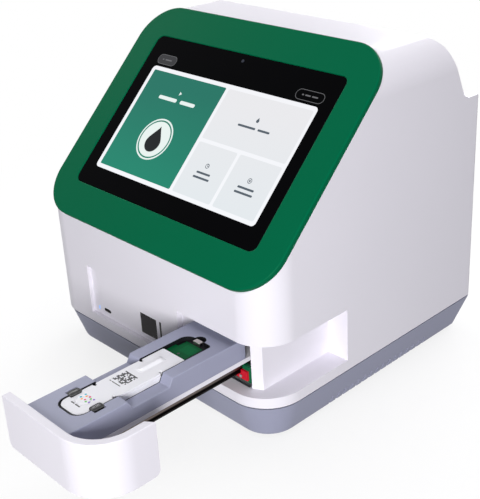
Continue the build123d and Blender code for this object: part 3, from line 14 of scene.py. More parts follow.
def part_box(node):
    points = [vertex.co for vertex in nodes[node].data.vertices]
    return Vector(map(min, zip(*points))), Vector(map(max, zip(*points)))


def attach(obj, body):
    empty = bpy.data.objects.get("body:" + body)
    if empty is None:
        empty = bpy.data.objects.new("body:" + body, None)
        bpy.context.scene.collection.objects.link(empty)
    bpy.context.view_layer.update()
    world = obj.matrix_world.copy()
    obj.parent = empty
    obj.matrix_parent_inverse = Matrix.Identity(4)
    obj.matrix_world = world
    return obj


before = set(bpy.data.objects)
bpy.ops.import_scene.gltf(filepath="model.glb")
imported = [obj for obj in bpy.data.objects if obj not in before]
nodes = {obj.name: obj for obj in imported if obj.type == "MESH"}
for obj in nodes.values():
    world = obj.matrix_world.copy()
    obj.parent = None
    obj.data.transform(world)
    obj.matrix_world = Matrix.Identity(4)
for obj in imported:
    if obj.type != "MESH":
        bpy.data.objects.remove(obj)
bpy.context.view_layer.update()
MM = 0.001

# %% [markdown]
# The photograph was taken from the front right, from a little above. Its viewpoint was worked
# out from the housing's straight edges, so the camera gets a place, three turned axes and a
# lens, and a small shift because the picture was cropped off centre.

# %% The camera
AZIMUTH, ELEVATION, ROLL = radians(45.69), radians(23.96), radians(-2.22)
FOCAL_PX, CENTRE_PX = 968.84, (278.17, 214.10)
PHOTO = (480, 499)
CAMERA_PLACE = Vector((0.61864, -0.57719, 0.49987))
SENSOR_MM = 36
back = Vector((sin(AZIMUTH) * cos(ELEVATION), -cos(AZIMUTH) * cos(ELEVATION), sin(ELEVATION)))
level = Vector((0, 0, 1)).cross(back).normalized()
upright = back.cross(level)
right = level * cos(ROLL) + upright * sin(ROLL)
up = upright * cos(ROLL) - level * sin(ROLL)
camera_data = bpy.data.cameras.new("camera")
camera = bpy.data.objects.new("camera", camera_data)
bpy.context.scene.collection.objects.link(camera)
turn = Matrix((right, up, back)).transposed().to_4x4()
camera.matrix_world = Matrix.Translation(CAMERA_PLACE) @ turn
camera_data.sensor_fit = "VERTICAL"
camera_data.sensor_height = SENSOR_MM
camera_data.lens = FOCAL_PX / PHOTO[1] * SENSOR_MM
camera_data.shift_x = (PHOTO[0] / 2 - CENTRE_PX[0]) / PHOTO[1]
camera_data.shift_y = (CENTRE_PX[1] - PHOTO[1] / 2) / PHOTO[1]
camera_data.clip_start = 0.05
bpy.context.scene.camera = camera
print("lens", round(camera_data.lens, 2), "shift", round(camera_data.shift_x, 4))

# %% [markdown]
# Colours are written as sRGB hex values, the way a designer reads them off a swatch. Blender
# mixes light in linear values, so one function turns the one into the other.
# A material is a small graph of nodes. One function adds a node with its settings and links,
# and each finish below is built from it, with its grain in real millimetres.

# %% Helpers for colours and material nodes
def linear(code, alpha=1.0):
    parts = [int(code[i:i + 2], 16) / 255 for i in (1, 3, 5)]
    return tuple(p / 12.92 if p <= 0.04045 else ((p + 0.055) / 1.055) ** 2.4 for p in parts) + (alpha,)


def add(tree, kind, settings=None, **inputs):
    """Adds a node. Inputs are values or sockets, by name or by number (i0, i1 and so on)."""
    node = tree.nodes.new(kind)
    for key, value in (settings or {}).items():
        setattr(node, key, value)
    for key, value in inputs.items():
        numbered = key[0] == "i" and key[1:].isdigit()
        socket = node.inputs[int(key[1:]) if numbered else key.replace("_", " ")]
        if isinstance(value, bpy.types.NodeSocket):
            tree.links.new(value, socket)
        else:
            socket.default_value = value
    return node


def material(name):
    """An empty node tree with its shader, its output and the surface's own coordinates in metres."""
    made = bpy.data.materials.new(name)
    made.use_nodes = True
    tree = made.node_tree
    tree.nodes.clear()
    shader = add(tree, "ShaderNodeBsdfPrincipled")
    add(tree, "ShaderNodeOutputMaterial", Surface=shader.outputs["BSDF"])
    place = add(tree, "ShaderNodeTexCoord")
    return made, tree, shader, place.outputs["Object"]


def blend(tree, factor, low, high):
    """A colour between two, mixed by a factor."""
    return add(tree, "ShaderNodeMix", {"data_type": "RGBA"}, i0=factor, i6=low, i7=high).outputs[2]


def dimmed(colour, share):
    """The same colour with each channel times a share."""
    return tuple(c * share for c in colour[:3]) + (1,)


def per_mm(size):
    """The texture scale, in cycles per metre, of a pattern whose grain is this many millimetres."""
    return 1 / (size * MM)


print("white plastic in linear light", [round(v, 3) for v in linear("#eae8f0")[:3]])

# %% [markdown]
# Nearly every outside part is injection-moulded plastic. The tool's steel is etched or spark
# eroded, so the surface has a fine even grain that spreads the light, and broad soft tone
# changes where the plastic flowed. The finish is one recipe: base colour with a faint
# variation, a noise bump at the grain's size, and roughness that varies a little.
# The real grain of about 0.1 mm is too fine to show, so it is drawn at 0.4 to 0.6 mm.

# %% Moulded plastic
def moulded(name, colour, roughness=0.42, grain=0.6, depth=0.012, tone=0.04, shine=0.3, ior=1.5):
    made, tree, shader, place = material(name)
    cloud = add(tree, "ShaderNodeTexNoise", i0=place, Scale=per_mm(90), Detail=3.0, Roughness=0.55)
    base = linear(colour)
    mixed = blend(tree, cloud.outputs["Fac"], dimmed(base, 1 - tone), base)
    tree.links.new(mixed, shader.inputs["Base Color"])
    pits = add(tree, "ShaderNodeTexNoise", i0=place, Scale=per_mm(grain), Detail=2.0)
    bump = add(tree, "ShaderNodeBump", Strength=0.35, Distance=depth * MM, Height=pits.outputs["Fac"])
    tree.links.new(bump.outputs["Normal"], shader.inputs["Normal"])
    low, high = roughness - 0.05, roughness + 0.05
    worn = add(tree, "ShaderNodeMapRange", Value=pits.outputs["Fac"], i3=low, i4=high)
    tree.links.new(worn.outputs["Result"], shader.inputs["Roughness"])
    shader.inputs["IOR"].default_value = ior
    shader.inputs["Specular IOR Level"].default_value = shine
    return made


abs_white = moulded("abs_white_satin", "#e9e6ee", roughness=0.42, tone=0.03)
abs_grey = moulded("abs_grey_blue_matt", "#9b9db3", roughness=0.5, tone=0.06)
abs_green = moulded("painted_green_satin", "#006341", roughness=0.42, tone=0.08, shine=0.03)
nylon_black = moulded("black_nylon_matt", "#141418", roughness=0.5, tone=0.2, shine=0.15)
catch_black = moulded("black_acetal_polished", "#0a0a0d", roughness=0.2, depth=0.004, tone=0.2, shine=0.28)
pc_white = moulded("polycarbonate_white_cartridge", "#eae9ee", roughness=0.32, grain=0.4, tone=0.02)
acetal_ivory = moulded("acetal_ivory_machined", "#dedbd0", roughness=0.4)
cap_green = moulded("end_cap_green", "#0a5f3c", roughness=0.4, tone=0.12, shine=0.15)
seal_red = moulded("seal_red_rubber", "#c80f28", roughness=0.45, tone=0.1, shine=0.15)
rubber_black = moulded("rubber_black_foot", "#1b1b1d", roughness=0.75, depth=0.03, tone=0.2)
print("moulded finishes", len(bpy.data.materials))

# %% [markdown]
# The metal parts are the linear guide's ground steel, plain aluminium sheet, zinc-plated screws
# and a turned brass pinion. Metal has no colour of its own under the shine: the shader's
# metallic value is 1 and the base colour tints the reflection. Grinding leaves fine lines along
# the part, so the noise is stretched 40 times along Y and drives both roughness and bump.

# %% Metals
def metal(name, colour, roughness=0.3, line=0.5, stretch=(1, 0.025, 1), tint=0.12):
    made, tree, shader, place = material(name)
    drawn = add(tree, "ShaderNodeVectorMath", {"operation": "MULTIPLY"}, i0=place, i1=stretch)
    lines = add(tree, "ShaderNodeTexNoise", i0=drawn.outputs["Vector"], Scale=per_mm(line), Detail=4.0)
    base = linear(colour)
    mixed = blend(tree, lines.outputs["Fac"], dimmed(base, 1 - tint), base)
    tree.links.new(mixed, shader.inputs["Base Color"])
    low, high = roughness - 0.08, roughness + 0.1
    rough = add(tree, "ShaderNodeMapRange", Value=lines.outputs["Fac"], i3=low, i4=high)
    tree.links.new(rough.outputs["Result"], shader.inputs["Roughness"])
    bump = add(tree, "ShaderNodeBump", Strength=0.3, Distance=0.01 * MM, Height=lines.outputs["Fac"])
    tree.links.new(bump.outputs["Normal"], shader.inputs["Normal"])
    shader.inputs["Metallic"].default_value = 1.0
    return made


carriage_steel = metal("carriage_steel", "#b9b4b0", roughness=0.3)
screw_zinc = metal("zinc_plated_screw", "#b4b6bb", roughness=0.35, line=0.8, stretch=(1, 1, 1))
sheet_aluminium = metal("aluminium_sheet", "#c3c6ca", roughness=0.38, line=0.7, stretch=(0.03, 1, 1))
pinion_brass = metal("turned_brass", "#c8a85a", roughness=0.28, stretch=(1, 1, 1))
socket_steel = metal("tinned_socket_steel", "#9c9da0", roughness=0.3, line=0.9, stretch=(1, 1, 1))
shell_black = metal("blackened_steel_shell", "#2c2b2e", roughness=0.38, line=0.9, stretch=(1, 1, 1))
print("metals made")

# %% [markdown]
# The rail is ground steel too, and its lower half is painted nearly black: painted shade on the rail's
# lower side. The height in Z picks the half, with 0.6 mm between the two tones.

# %% The rail's steel with painted shade on its lower half
BAND_FOOT, BAND_TOP = 0.0615, 0.0621
rail_steel = metal("ground_rail_steel_with_painted_shade", "#6b615d", roughness=0.34)
rail_nodes_with_painted_shade = rail_steel.node_tree
rail_shader = next(n for n in rail_nodes_with_painted_shade.nodes if n.bl_idname == "ShaderNodeBsdfPrincipled")
bright = rail_shader.inputs["Base Color"].links[0].from_socket
rail_place = add(rail_nodes_with_painted_shade, "ShaderNodeTexCoord")
height = add(rail_nodes_with_painted_shade, "ShaderNodeSeparateXYZ", Vector=rail_place.outputs["Object"])
band = add(rail_nodes_with_painted_shade, "ShaderNodeMapRange", Value=height.outputs["Z"], i1=BAND_FOOT, i2=BAND_TOP)
# The near black below the band is painted shade, not a colour of the steel.
painted_shade_lower_half = blend(rail_nodes_with_painted_shade, band.outputs["Result"], linear("#1c1818"), bright)
rail_nodes_with_painted_shade.links.new(painted_shade_lower_half, rail_shader.inputs["Base Color"])
print("rail tone changes over", round((BAND_TOP - BAND_FOOT) / MM, 2), "mm")

# %% [markdown]
# The screen's front is one sheet of polished glass, black on its back where there is no
# picture. Polished glass is nearly mirror smooth, so its roughness is very low and what one sees
# on it is the room. A display's glass has an anti-reflex coating, so the shine is set low, and
# a faint film of finger grease is all that varies it. The lens and the reading window are the
# same kind of dark glass.

# %% Dark glass
def dark_glass(name, colour, roughness=0.06, shine=0.015):
    made, tree, shader, place = material(name)
    film = add(tree, "ShaderNodeTexNoise", i0=place, Scale=per_mm(35), Detail=5.0, Roughness=0.6)
    smear = add(tree, "ShaderNodeMapRange", Value=film.outputs["Fac"], i3=roughness, i4=roughness + 0.07)
    tree.links.new(smear.outputs["Result"], shader.inputs["Roughness"])
    base = linear(colour)
    mixed = blend(tree, film.outputs["Fac"], dimmed(base, 0.6), base)
    tree.links.new(mixed, shader.inputs["Base Color"])
    shader.inputs["IOR"].default_value = 1.5
    shader.inputs["Specular IOR Level"].default_value = shine
    return made


front_glass = dark_glass("black_backed_glass", "#040406")
window_glass = dark_glass("reading_window_black", "#17141a", roughness=0.12, shine=0.08)
lens_glass = dark_glass("coated_lens", "#1a2034", roughness=0.04, shine=0.3)
print("glasses made")

# %% [markdown]
# A circuit board is glass-fibre laminate under green solder mask. Copper shows through the mask
# as faint lighter tracks about 0.2 mm wide, here drawn 0.4 mm wide. The mask's own colour is
# deep, so the tracks differ from it only a little, and a low bump makes them stand out.

# %% Circuit board
def circuit_board(name, colour, track):
    made, tree, shader, place = material(name)
    tracks = add(
        tree, "ShaderNodeTexBrick", {"offset": 0.35, "squash": 0.6},
        Vector=place, Color1=linear(colour), Color2=linear(colour), Mortar=linear(track),
        Scale=per_mm(6), Mortar_Size=0.07, Mortar_Smooth=0.3, Bias=0.0,
    )
    cloud = add(tree, "ShaderNodeTexNoise", i0=place, Scale=per_mm(12), Detail=3.0)
    depth = add(tree, "ShaderNodeMapRange", Value=cloud.outputs["Fac"], i3=0.75, i4=1.15)
    mix = add(
        tree, "ShaderNodeMix", {"data_type": "RGBA", "blend_type": "MULTIPLY"},
        i0=1.0, i6=tracks.outputs["Color"], i7=depth.outputs["Result"],
    )
    tree.links.new(mix.outputs[2], shader.inputs["Base Color"])
    bump = add(tree, "ShaderNodeBump", Strength=0.15, Distance=0.02 * MM, Height=tracks.outputs["Fac"])
    tree.links.new(bump.outputs["Normal"], shader.inputs["Normal"])
    shader.inputs["Roughness"].default_value = 0.35
    shader.inputs["Specular IOR Level"].default_value = 0.05
    return made


solder_mask = circuit_board("green_solder_mask", "#00532c", "#015a31")
print("board finish made")

# %% [markdown]
# The lamp and the light bar are frosted plastic light guides: pale, a little soft inside and
# lit from behind. Foam behind the glass is closed-cell, with open pores at its cut edges.

# %% Light guides and foam
def light_guide(name, colour, glow, strength):
    made, tree, shader, place = material(name)
    haze = add(tree, "ShaderNodeTexNoise", i0=place, Scale=per_mm(1.5), Detail=2.0)
    base = linear(colour)
    mixed = blend(tree, haze.outputs["Fac"], dimmed(base, 0.85), base)
    tree.links.new(mixed, shader.inputs["Base Color"])
    shader.inputs["Roughness"].default_value = 0.35
    shader.inputs["Specular IOR Level"].default_value = 0.15
    shader.inputs["Emission Color"].default_value = linear(glow)
    shader.inputs["Emission Strength"].default_value = strength
    return made


lamp_blue = light_guide("frosted_guide_blue_lit", "#6f9fe0", "#8ab8f6", 0.75)
bar_smoked = light_guide("smoked_guide_unlit", "#17161a", "#17161a", 0.0)
foam_black = moulded("black_foam", "#151515", roughness=0.85, grain=1.2, depth=0.15)
print("materials in all", len(bpy.data.materials))

# %% [markdown]
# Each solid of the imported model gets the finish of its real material. The solids come as
# triangles, so a weld closes them and a planar dissolve joins the triangles of each flat face.
# Then a small bevel rounds the sharp edges, as a moulding tool or a deburring file does. Last,
# a small node group marks the edges that stay crisp, and weighted normals keep flat faces flat.

# %% A node group that marks crisp edges by their angle
crisp = bpy.data.node_groups.new("crisp_edges_by_angle", "GeometryNodeTree")
crisp.interface.new_socket("Geometry", in_out="INPUT", socket_type="NodeSocketGeometry")
crisp.interface.new_socket("Geometry", in_out="OUTPUT", socket_type="NodeSocketGeometry")
shape_in = add(crisp, "NodeGroupInput")
rounded = add(crisp, "GeometryNodeSetShadeSmooth", {"domain": "FACE"}, i0=shape_in.outputs[0], i2=True)
corner = add(crisp, "GeometryNodeInputMeshEdgeAngle")
steep = add(
    crisp, "FunctionNodeCompare", {"operation": "GREATER_THAN"},
    i0=corner.outputs["Unsigned Angle"], i1=radians(32),
)
edged = add(
    crisp, "GeometryNodeSetShadeSmooth", {"domain": "EDGE"},
    i0=rounded.outputs[0], i1=steep.outputs[0], i2=False,
)
add(crisp, "NodeGroupOutput", i0=edged.outputs[0])
print("nodes in the group", len(crisp.nodes))

# %% [markdown]
# Every solid gets the same stack of modifiers, in the same order. The weld joins points closer
# than 0.005 mm and the dissolve works below 0.4 degrees, so neither changes a shape that shows.

# %% Soften and shade one object
def soften(piece, radius=0.0, segments=2):
    """Rounds the sharp edges by a radius in millimetres and gives the faces clean normals."""
    weld = piece.modifiers.new("weld", "WELD")
    weld.merge_threshold = 0.000005
    flats = piece.modifiers.new("whole faces", "DECIMATE")
    flats.decimate_type = "DISSOLVE"
    flats.angle_limit = radians(0.4)
    if radius:
        bevel = piece.modifiers.new("edge radius", "BEVEL")
        bevel.width = radius * MM
        bevel.segments = segments
        bevel.limit_method = "ANGLE"
        bevel.angle_limit = radians(38)
        bevel.use_clamp_overlap = True
    marks = piece.modifiers.new("crisp edges", "NODES")
    marks.node_group = crisp
    normals = piece.modifiers.new("even normals", "WEIGHTED_NORMAL")
    normals.mode = "FACE_AREA"
    normals.keep_sharp = True
    normals.weight = 60


print("edge softening ready")

# %% [markdown]
# One table gives each solid its finish and the radius of its edges in millimetres. A solid that
# the table leaves out is a screw: zinc-plated, with edges of 0.25 mm.

# %% Finishes and edge radii of the solids
finish = {
    "main_cover": (abs_white, 0.8), "tray_front": (abs_white, 0.5), "tray_plate": (abs_white, 0.4),
    "base_pan": (abs_grey, 0.4), "tray_cover": (abs_grey, 0.5), "screen_bezel": (abs_green, 0.3),
    "screen_glass": (front_glass, 0.15), "camera_lens": (lens_glass, 0.0),
    "scan_window": (window_glass, 0.2),
    # The seam strip is a black gasket in the seam's gap; its dark line also stands in for the gap's shade,
    # painted shade.
    "optics_lens": (lens_glass, 0.0), "glass_gasket": (foam_black, 0.0), "seam_strip": (nylon_black, 0.0),
    "rubber_feet": (rubber_black, 0.0), "status_lamp": (lamp_blue, 0.3), "light_bar": (bar_smoked, 0.1),
    "scan_module": (nylon_black, 0.3), "front_board": (solder_mask, 0.0), "bay_frame": (nylon_black, 0.2),
    "tray_board": (solder_mask, 0.1), "frame_clip": (carriage_steel, 0.15),
    "left_catch": (catch_black, 1.1),
    "right_catch": (catch_black, 1.1), "cartridge_body": (pc_white, 0.4), "cartridge_lid": (pc_white, 0.4),
    "guide_rail": (rail_steel, 0.2), "guide_carriage": (carriage_steel, 0.3),
    "carriage_end_caps": (cap_green, 0.4), "carriage_seals": (seal_red, 0.3),
    "carriage_block": (sheet_aluminium, 0.3), "tray_rack": (acetal_ivory, 0.0),
    "drive_pinion": (pinion_brass, 0.0), "tray_motor": (carriage_steel, 0.3),
    "motor_bracket": (sheet_aluminium, 0.3), "home_sensor": (nylon_black, 0.2),
    "chassis_plate": (sheet_aluminium, 0.2), "optics_bridge": (sheet_aluminium, 0.3),
    "optics_head": (nylon_black, 0.5), "display_panel": (nylon_black, 0.2),
    "display_bracket": (sheet_aluminium, 0.2), "main_board": (solder_mask, 0.0),
    "heat_sink": (sheet_aluminium, 0.2), "back_panel": (sheet_aluminium, 0.3),
    "fan_frame": (nylon_black, 0.4),
    "fan_rotor": (nylon_black, 0.2), "switch_frame": (nylon_black, 0.3),
    "switch_rocker": (nylon_black, 0.5),
    "socket_board": (solder_mask, 0.0), "power_jack": (nylon_black, 0.3),
    "network_socket": (socket_steel, 0.3),
    "usb_a_sockets": (socket_steel, 0.2), "usb_socket": (shell_black, 0.1),
    "chassis_posts": (screw_zinc, 0.2), "board_posts": (screw_zinc, 0.2),
}
for name, solid in nodes.items():
    look, radius = finish.get(name, (screw_zinc, 0.25))
    solid.data.materials.clear()
    solid.data.materials.append(look)
    soften(solid, radius)
print("solids with a finish", len(nodes), "of them by name", len(finish))

# %% [markdown]
# The screen shows one page: a white sheet with a green tile, three pale tiles, and two pill
# buttons above it. A picture behind glass is lit from behind, so these surfaces shine by
# themselves at about the level of their written colour and take almost nothing from the lamps.
# Each one is a thin flat slab with rounded corners, cut with bmesh and laid on the glass.
# A slope helper turns a place across (x) and up the slope (t), both in mm, into a point.

# %% Places on the sloped screen
SLOPE_FOOT = Vector((0, -140, 139.9))
UP_SLOPE = Vector((0, cos(pi / 4), sin(pi / 4)))
OFF_SLOPE = Vector((0, -sin(pi / 4), cos(pi / 4)))
GLASS_LIFT = 4.4


def on_slope(x, t, lift):
    return (SLOPE_FOOT + Vector((x, 0, 0)) + UP_SLOPE * t + OFF_SLOPE * lift) * MM


glass_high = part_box("screen_glass")[1]
print("glass top by the slope's own places", [round(v, 4) for v in on_slope(120.6, 195.4, GLASS_LIFT)])
print("glass box", [round(v, 4) for v in glass_high])

# %% [markdown]
# Flat details are slabs: an outline of points, laid down at two lifts and closed by side walls.
# A ring is the same with a second outline inside. A place function says where a point of the
# outline goes, so one slab function serves the sloped screen and the level tray.

# %% A thin slab from an outline
def rounded_outline(x0, x1, y0, y1, radius, steps=6):
    """The corner points of a rectangle with rounded corners, turning left."""
    points = []
    for cx, cy, start in ((x1 - radius, y0 + radius, -90), (x1 - radius, y1 - radius, 0),
                          (x0 + radius, y1 - radius, 90), (x0 + radius, y0 + radius, 180)):
        for k in range(steps + 1):
            angle = radians(start + 90 * k / steps)
            points.append((cx + radius * cos(angle), cy + radius * sin(angle)))
    return points


def finish_piece(name, work, look, body):
    """Turns a bmesh into a piece with its material, riding on a body."""
    mesh = bpy.data.meshes.new(name)
    work.to_mesh(mesh)
    work.free()
    piece = bpy.data.objects.new(name, mesh)
    bpy.context.scene.collection.objects.link(piece)
    mesh.materials.append(look)
    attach(piece, body)
    return piece


def slab(name, outlines, place, low, high, look, body):
    """Closed slabs, one for each outline, between two lifts in mm, on a surface that place gives."""
    work = bmesh.new()
    for outline in outlines:
        under = [work.verts.new(place(x, y, low)) for x, y in outline]
        over = [work.verts.new(place(x, y, high)) for x, y in outline]
        work.faces.new(over)
        work.faces.new(list(reversed(under)))
        for k in range(len(outline)):
            n = (k + 1) % len(outline)
            work.faces.new((under[k], under[n], over[n], over[k]))
    bmesh.ops.recalc_face_normals(work, faces=work.faces)
    return finish_piece(name, work, look, body)


def frame_slab(name, outer, inner, place, low, high, look, body):
    """A closed ring between two outlines with the same number of points."""
    work = bmesh.new()
    loops = [[work.verts.new(place(x, y, lift)) for x, y in outline]
             for outline, lift in ((outer, low), (outer, high), (inner, high), (inner, low))]
    for k in range(len(outer)):
        n = (k + 1) % len(outer)
        for a, b in ((0, 1), (1, 2), (2, 3), (3, 0)):
            work.faces.new((loops[a][k], loops[a][n], loops[b][n], loops[b][k]))
    bmesh.ops.recalc_face_normals(work, faces=work.faces)
    return finish_piece(name, work, look, body)


print("slab helpers ready")

# %% [markdown]
# A display's picture is made of pixels, here about 0.17 mm. They are too fine to see, so the
# finish only carries what the eye notices: a slow change of tone from the top of a tile to its
# foot, and the thin gloss of the glass. The tone runs along the slope, by the height in Z.

# %% Lit picture finish
def lit_picture(name, top, foot, z_top=0.255, z_foot=0.175, strength=1.0):
    made, tree, shader, place = material(name)
    apart = add(tree, "ShaderNodeSeparateXYZ", Vector=place)
    climb = add(tree, "ShaderNodeMapRange", Value=apart.outputs["Z"], i1=z_foot, i2=z_top, i3=0.0, i4=1.0)
    drift = add(tree, "ShaderNodeTexNoise", i0=place, Scale=per_mm(60), Detail=2.0)
    level = add(
        tree, "ShaderNodeMath", {"operation": "MULTIPLY_ADD", "use_clamp": True},
        i0=drift.outputs["Fac"], i1=0.2, i2=climb.outputs["Result"],
    )
    mixed = blend(tree, level.outputs[0], linear(foot), linear(top))
    tree.links.new(mixed, shader.inputs["Emission Color"])
    shader.inputs["Emission Strength"].default_value = strength
    shader.inputs["Base Color"].default_value = linear("#050506")
    shader.inputs["Roughness"].default_value = 0.12
    shader.inputs["Specular IOR Level"].default_value = 0.08
    return made


page_white = lit_picture("lit_page_white", "#f3f4f8", "#f6f8fc")
tile_green = lit_picture("lit_tile_green", "#1f7463", "#1c8a70")
tile_pale = lit_picture("lit_tile_pale", "#e9e9ec", "#e2e9ed")
ink_grey = lit_picture("lit_ink_grey", "#56606a", "#56606a")
ink_white = lit_picture("lit_ink_white", "#e9f3f0", "#e9f3f0")
ink_dark = lit_picture("lit_ink_dark", "#15181b", "#202427")
pill_grey = lit_picture("lit_pill_grey", "#38383b", "#38383b")
line_grey = lit_picture("lit_line_grey", "#6a6a6d", "#6a6a6d")
print("picture finishes", sum(1 for m in bpy.data.materials if m.name.startswith("lit_")))

# %% [markdown]
# The layout of the page is plain: one large start tile and three smaller ones. Labels are drawn
# as rounded bars, the way a layout draft shows words, and the large tile holds a round plate
# with a drop on it, the usual sign for a liquid sample.

# %% Page, tiles and pills
def on_page(name, rects, lift, look):
    outlines = [rounded_outline(x0, x1, t0, t1, r) for x0, x1, t0, t1, r in rects]
    return slab(name, outlines, on_slope, lift - 0.02, lift, look, "housing")


on_page("screen_page", [(-105.4, 107.4, 52.8, 164.2, 4.0)], GLASS_LIFT + 0.03, page_white)
on_page("screen_tile_start", [(-101.2, -0.8, 56.8, 160.2, 1.2)], GLASS_LIFT + 0.06, tile_green)
pale_tiles = [
    (3.0, 104.2, 110.0, 160.2, 1.8),
    (3.1, 51.5, 56.6, 106.5, 1.8),
    (55.0, 103.9, 56.6, 106.5, 1.8),
]
on_page("screen_tiles_pale", pale_tiles, GLASS_LIFT + 0.06, tile_pale)
on_page("screen_pill_left", [(-104.9, -79.9, 167.5, 176.9, 4.6)], GLASS_LIFT + 0.03, pill_grey)
pill_edges = {"left": (-105.4, -79.4, 167.0, 177.4), "right": (76.3, 108.0, 166.9, 176.9)}
for side, (x0, x1, t0, t1) in pill_edges.items():
    frame_slab(
        "screen_pill_edge_" + side, rounded_outline(x0, x1, t0, t1, 5.0),
        rounded_outline(x0 + 0.45, x1 - 0.45, t0 + 0.45, t1 - 0.45, 4.55),
        on_slope, GLASS_LIFT + 0.01, GLASS_LIFT + 0.035, line_grey, "housing",
    )
print("page laid at lift", GLASS_LIFT)

# %% [markdown]
# A label is a row of bars, each as wide as a word would be, centred on its place. The bars lie
# a few hundredths of a millimetre above the tiles, so the two never share a plane.

# %% Bars for labels
def bar_row(x, t, height, widths, gap):
    """Rounded bars in a row, centred on x."""
    whole = sum(widths) + gap * (len(widths) - 1)
    start = x - whole / 2
    rects = []
    for width in widths:
        rects.append((start, start + width, t - height / 2, t + height / 2, height * 0.42))
        start += width + gap
    return rects


on_page("screen_label_start", bar_row(-50.8, 135.4, 3.6, (25.0, 20.0), 5.0), GLASS_LIFT + 0.09, ink_white)
labels = bar_row(53.4, 131.0, 2.0, (21.0, 14.0), 3.0)
labels += bar_row(27.0, 80.0, 1.9, (17.0,), 0) + bar_row(27.0, 75.4, 1.9, (20.0,), 0)
labels += bar_row(79.2, 80.0, 1.9, (19.0,), 0) + bar_row(79.2, 75.4, 1.9, (21.0,), 0)
on_page("screen_labels", labels, GLASS_LIFT + 0.09, ink_grey)
on_page("screen_pill_label_left", bar_row(-92.4, 172.2, 1.3, (2.0, 9.0), 2.0), GLASS_LIFT + 0.06, line_grey)
right_words = bar_row(92.2, 171.9, 1.3, (2.0, 6.0, 6.5), 1.6)
on_page("screen_pill_label_right", right_words, GLASS_LIFT + 0.06, line_grey)
print("bars", len(labels))

# %% [markdown]
# The signs are built from three plain shapes: a circle, a ring and a drop. The large plate and
# its drop stand on the green tile, and each pale tile has a small sign over its label.

# %% Round signs on the tiles
def circle(x, t, radius, count=40, start=0.0):
    angles = [start + 2 * pi * k / count for k in range(count)]
    return [(x + radius * cos(angle), t + radius * sin(angle)) for angle in angles]


def drop(x, t, radius, height, count=40):
    """A drop: a circle whose top is drawn out to a point."""
    points = []
    for k in range(count):
        angle = 2 * pi * k / count
        across, along = sin(angle), -cos(angle)
        pull = max(0.0, along) ** 2.2
        rise = radius * along + (height - radius) * pull
        points.append((x + radius * across * (1 - pull) ** 0.8, t + rise))
    return points


SIGN_FOOT, SIGN_TOP = GLASS_LIFT + 0.07, GLASS_LIFT + 0.09
MARK_FOOT, MARK_TOP = GLASS_LIFT + 0.10, GLASS_LIFT + 0.12
PLATE_X, PLATE_T, SIGN_T = -50.8, 95, 87.4


def sign(name, outlines, look, low=SIGN_FOOT, high=SIGN_TOP):
    return slab(name, outlines, on_slope, low, high, look, "housing")


def ring_sign(name, x, t, outer, inner, count, look, low=SIGN_FOOT, high=SIGN_TOP):
    rims = circle(x, t, outer, count), circle(x, t, inner, count)
    return frame_slab(name, rims[0], rims[1], on_slope, low, high, look, "housing")


sign("sign_plate", [circle(PLATE_X, PLATE_T, 21, 64)], ink_white)
sign("sign_drop", [drop(PLATE_X, 91.5, 9.5, 17)], ink_dark, MARK_FOOT, MARK_TOP)
ring_sign("sign_ring", PLATE_X, PLATE_T, 19.4, 18.0, 64, tile_green, MARK_FOOT, MARK_TOP)
sign("sign_arrow", [[(-52.2, 141.2), (-49.2, 143.2), (-52.2, 145.2)]], ink_white)
sign("sign_small_drop", [drop(53.4, 138.6, 1.7, 3.4, 20)], ink_grey)
ring_sign("sign_clock", 27.0, SIGN_T, 2.3, 1.7, 28, ink_grey)
ring_sign("sign_target", 79.2, SIGN_T, 2.4, 1.8, 28, ink_grey)
small_marks = [
    circle(79.2, SIGN_T, 0.9, 16),
    rounded_outline(26.7, 27.3, 87.2, 89.0, 0.2, 2),
    rounded_outline(26.8, 28.4, 87.0, 87.6, 0.2, 2),
]
sign("sign_marks", small_marks, ink_grey)

# %% [markdown]
# The cartridge's marks are printed on the plastic in solid inks: black for the patch and the
# bars, and five bright colours for the dots. Ink on plastic is not quite even, so a fine noise
# lightens it here and there.

# %% Printed ink
def printed(name, colour, speck=0.5):
    made, tree, shader, place = material(name)
    fleck = add(tree, "ShaderNodeTexNoise", i0=place, Scale=per_mm(speck), Detail=2.0)
    base = linear(colour)
    pale = tuple(min(1.0, c * 1.15 + 0.01) for c in base[:3]) + (1,)
    tree.links.new(blend(tree, fleck.outputs["Fac"], base, pale), shader.inputs["Base Color"])
    shader.inputs["Roughness"].default_value = 0.5
    return made


ink_black = printed("printed_ink_black", "#2b2a2e")
dot_colours = {
    "teal": "#1fa6bd", "amber": "#f29a2e", "rose": "#d62e6e", "leaf": "#4fb23c", "violet": "#7a4fb8",
}
dot_inks = [printed("printed_dot_" + word, code) for word, code in dot_colours.items()]
print("inks", 1 + len(dot_inks))

# %% [markdown]
# A patch of small dark squares is there for the reader's own camera. It is a checker with gaps,
# made from a fixed rule, so it codes nothing. Two rows of coloured dots and a few bars stand
# below and above it. Each mark is a slab 0.04 mm thick on the lid's flat top.

# %% Marks on the cartridge
TRAY_OUT = -304.5
INK = 0.04


def on_tray(height):
    """Places in the tray's own coordinates, x across and y from the tray's front, at a height."""
    return lambda x, y, lift: Vector((x, y + TRAY_OUT, height + lift)) * MM


